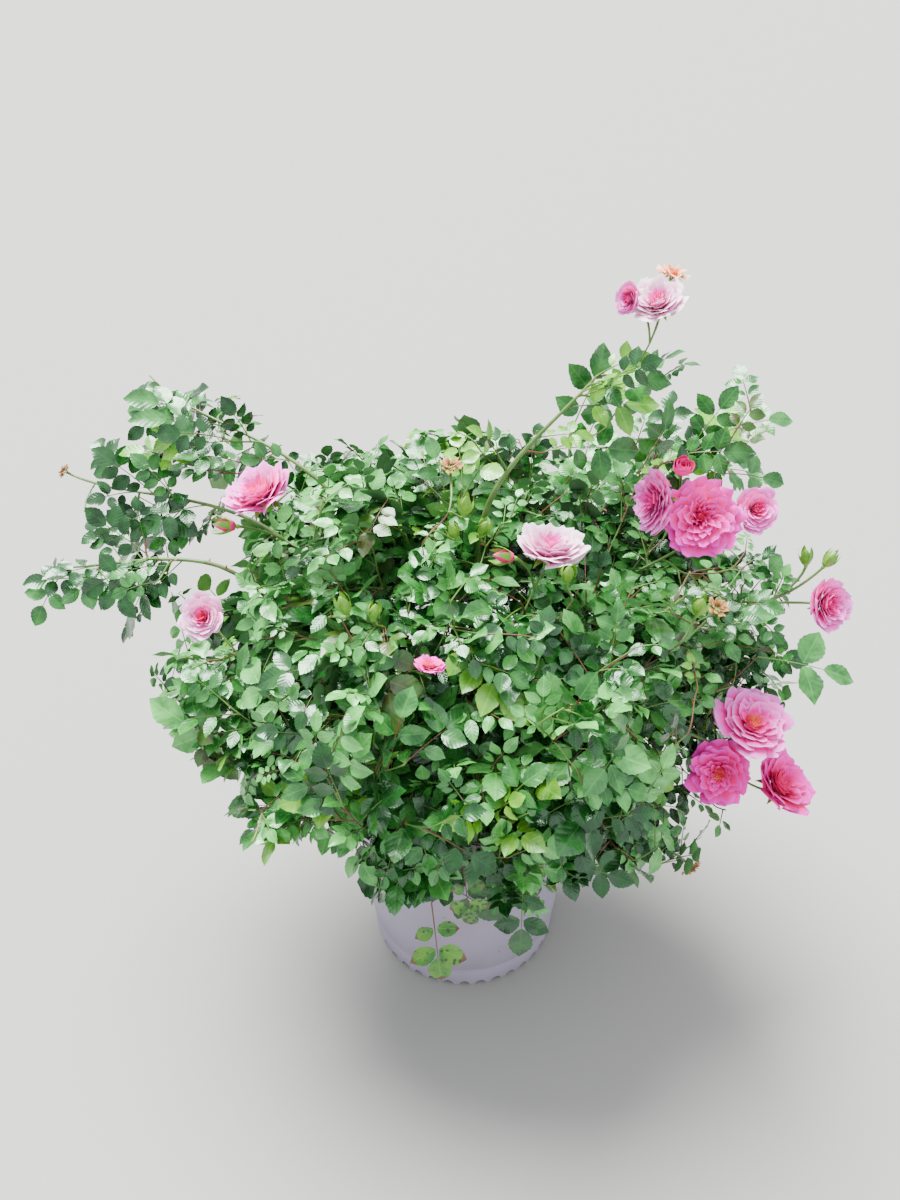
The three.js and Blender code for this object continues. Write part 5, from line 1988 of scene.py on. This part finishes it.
FLOOR_HALF = 14
corners = [(-FLOOR_HALF, -FLOOR_HALF, 0), (FLOOR_HALF, -FLOOR_HALF, 0)]
corners += [(FLOOR_HALF, FLOOR_HALF, 0), (-FLOOR_HALF, FLOOR_HALF, 0)]
floor_mesh = new_mesh("floor", corners, faces=[(0, 1, 2, 3)])
floor_finish, _, floor_shader = new_material("floor", 0.8, 0.2)
floor_shader["Base Color"].default_value = rgb(147, 146, 143)
floor_mesh.materials.append(floor_finish)
floor = add_object("floor", floor_mesh)
print("floor:", 2 * FLOOR_HALF, "m wide")

# %% [markdown]
# ## Light
# The light is that of a bright overcast day: a sun whose disc is blurred wide by cloud, and a
# pale sky, brighter overhead, which is what the wet leaves reflect.

# %% Light the scene
SUN_ENERGY = 18
SUN_SPREAD = math.radians(40)
SUN_TURN = (math.radians(-24), math.radians(-14), 0)
SKY_LOW = (0.42, 0.45, 0.49, 1)
SKY_HIGH = (1.4, 1.43, 1.48, 1)
SKY_STRENGTH = 1.6

sun = bpy.data.lights.new("sky_light", "SUN")
sun.energy = SUN_ENERGY
sun.angle = SUN_SPREAD
add_object("sky_light", sun).rotation_euler = SUN_TURN

world = bpy.data.worlds.new("overcast")
world.use_nodes = True
sky = world.node_tree
view = add_node(sky, "ShaderNodeTexCoord").outputs["Generated"]
upward = add_node(sky, "ShaderNodeSeparateXYZ", {0: view}).outputs[2]
shade = mixed(sky, spread_out(sky, upward, 0.0, 0.9), SKY_LOW, SKY_HIGH)
sky.links.new(shade, sky.nodes["Background"].inputs["Color"])
sky.nodes["Background"].inputs["Strength"].default_value = SKY_STRENGTH
bpy.context.scene.world = world
print("stage set")

# %% [markdown]
# ## The pieces ride on the plant
# Every piece rides on the plant's one body, and the plain solids that it stands for are hidden.

# %% Ride and replace
def nodes_named(*starts):
    return [name for name in NODES if name.startswith(starts)]


def hand_over(piece, slot_name, *replaced):
    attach(piece, "root")
    if replaced:
        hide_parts(*replaced)


hand_over(pot, "pot_plastic", "pot")
hand_over(soil, "potting_mix", "potting_soil")
hand_over(chips, "potting_mix")
hand_over(stump, "bark", "stem_base")
hand_over(canes, "cane_bark", *nodes_named("cane_", "branch_"))
hand_over(stems, "foliage", *nodes_named("foliage_"))
plain_pieces = [twigs_green, twigs_red, twigs_dry, stalks, leaf_stalks_green, leaf_stalks_red]
for piece in [*plain_pieces, *leaf_pieces, *flower_pieces]:
    hand_over(piece, "foliage")
for piece in prickle_pieces:
    hand_over(piece, "cane_bark")

own = [pot, soil, chips, stump, canes, stems, *plain_pieces, *leaf_pieces, *flower_pieces, *prickle_pieces]
print("pieces:", len(own), "triangles:", sum(triangles(piece) for piece in own))
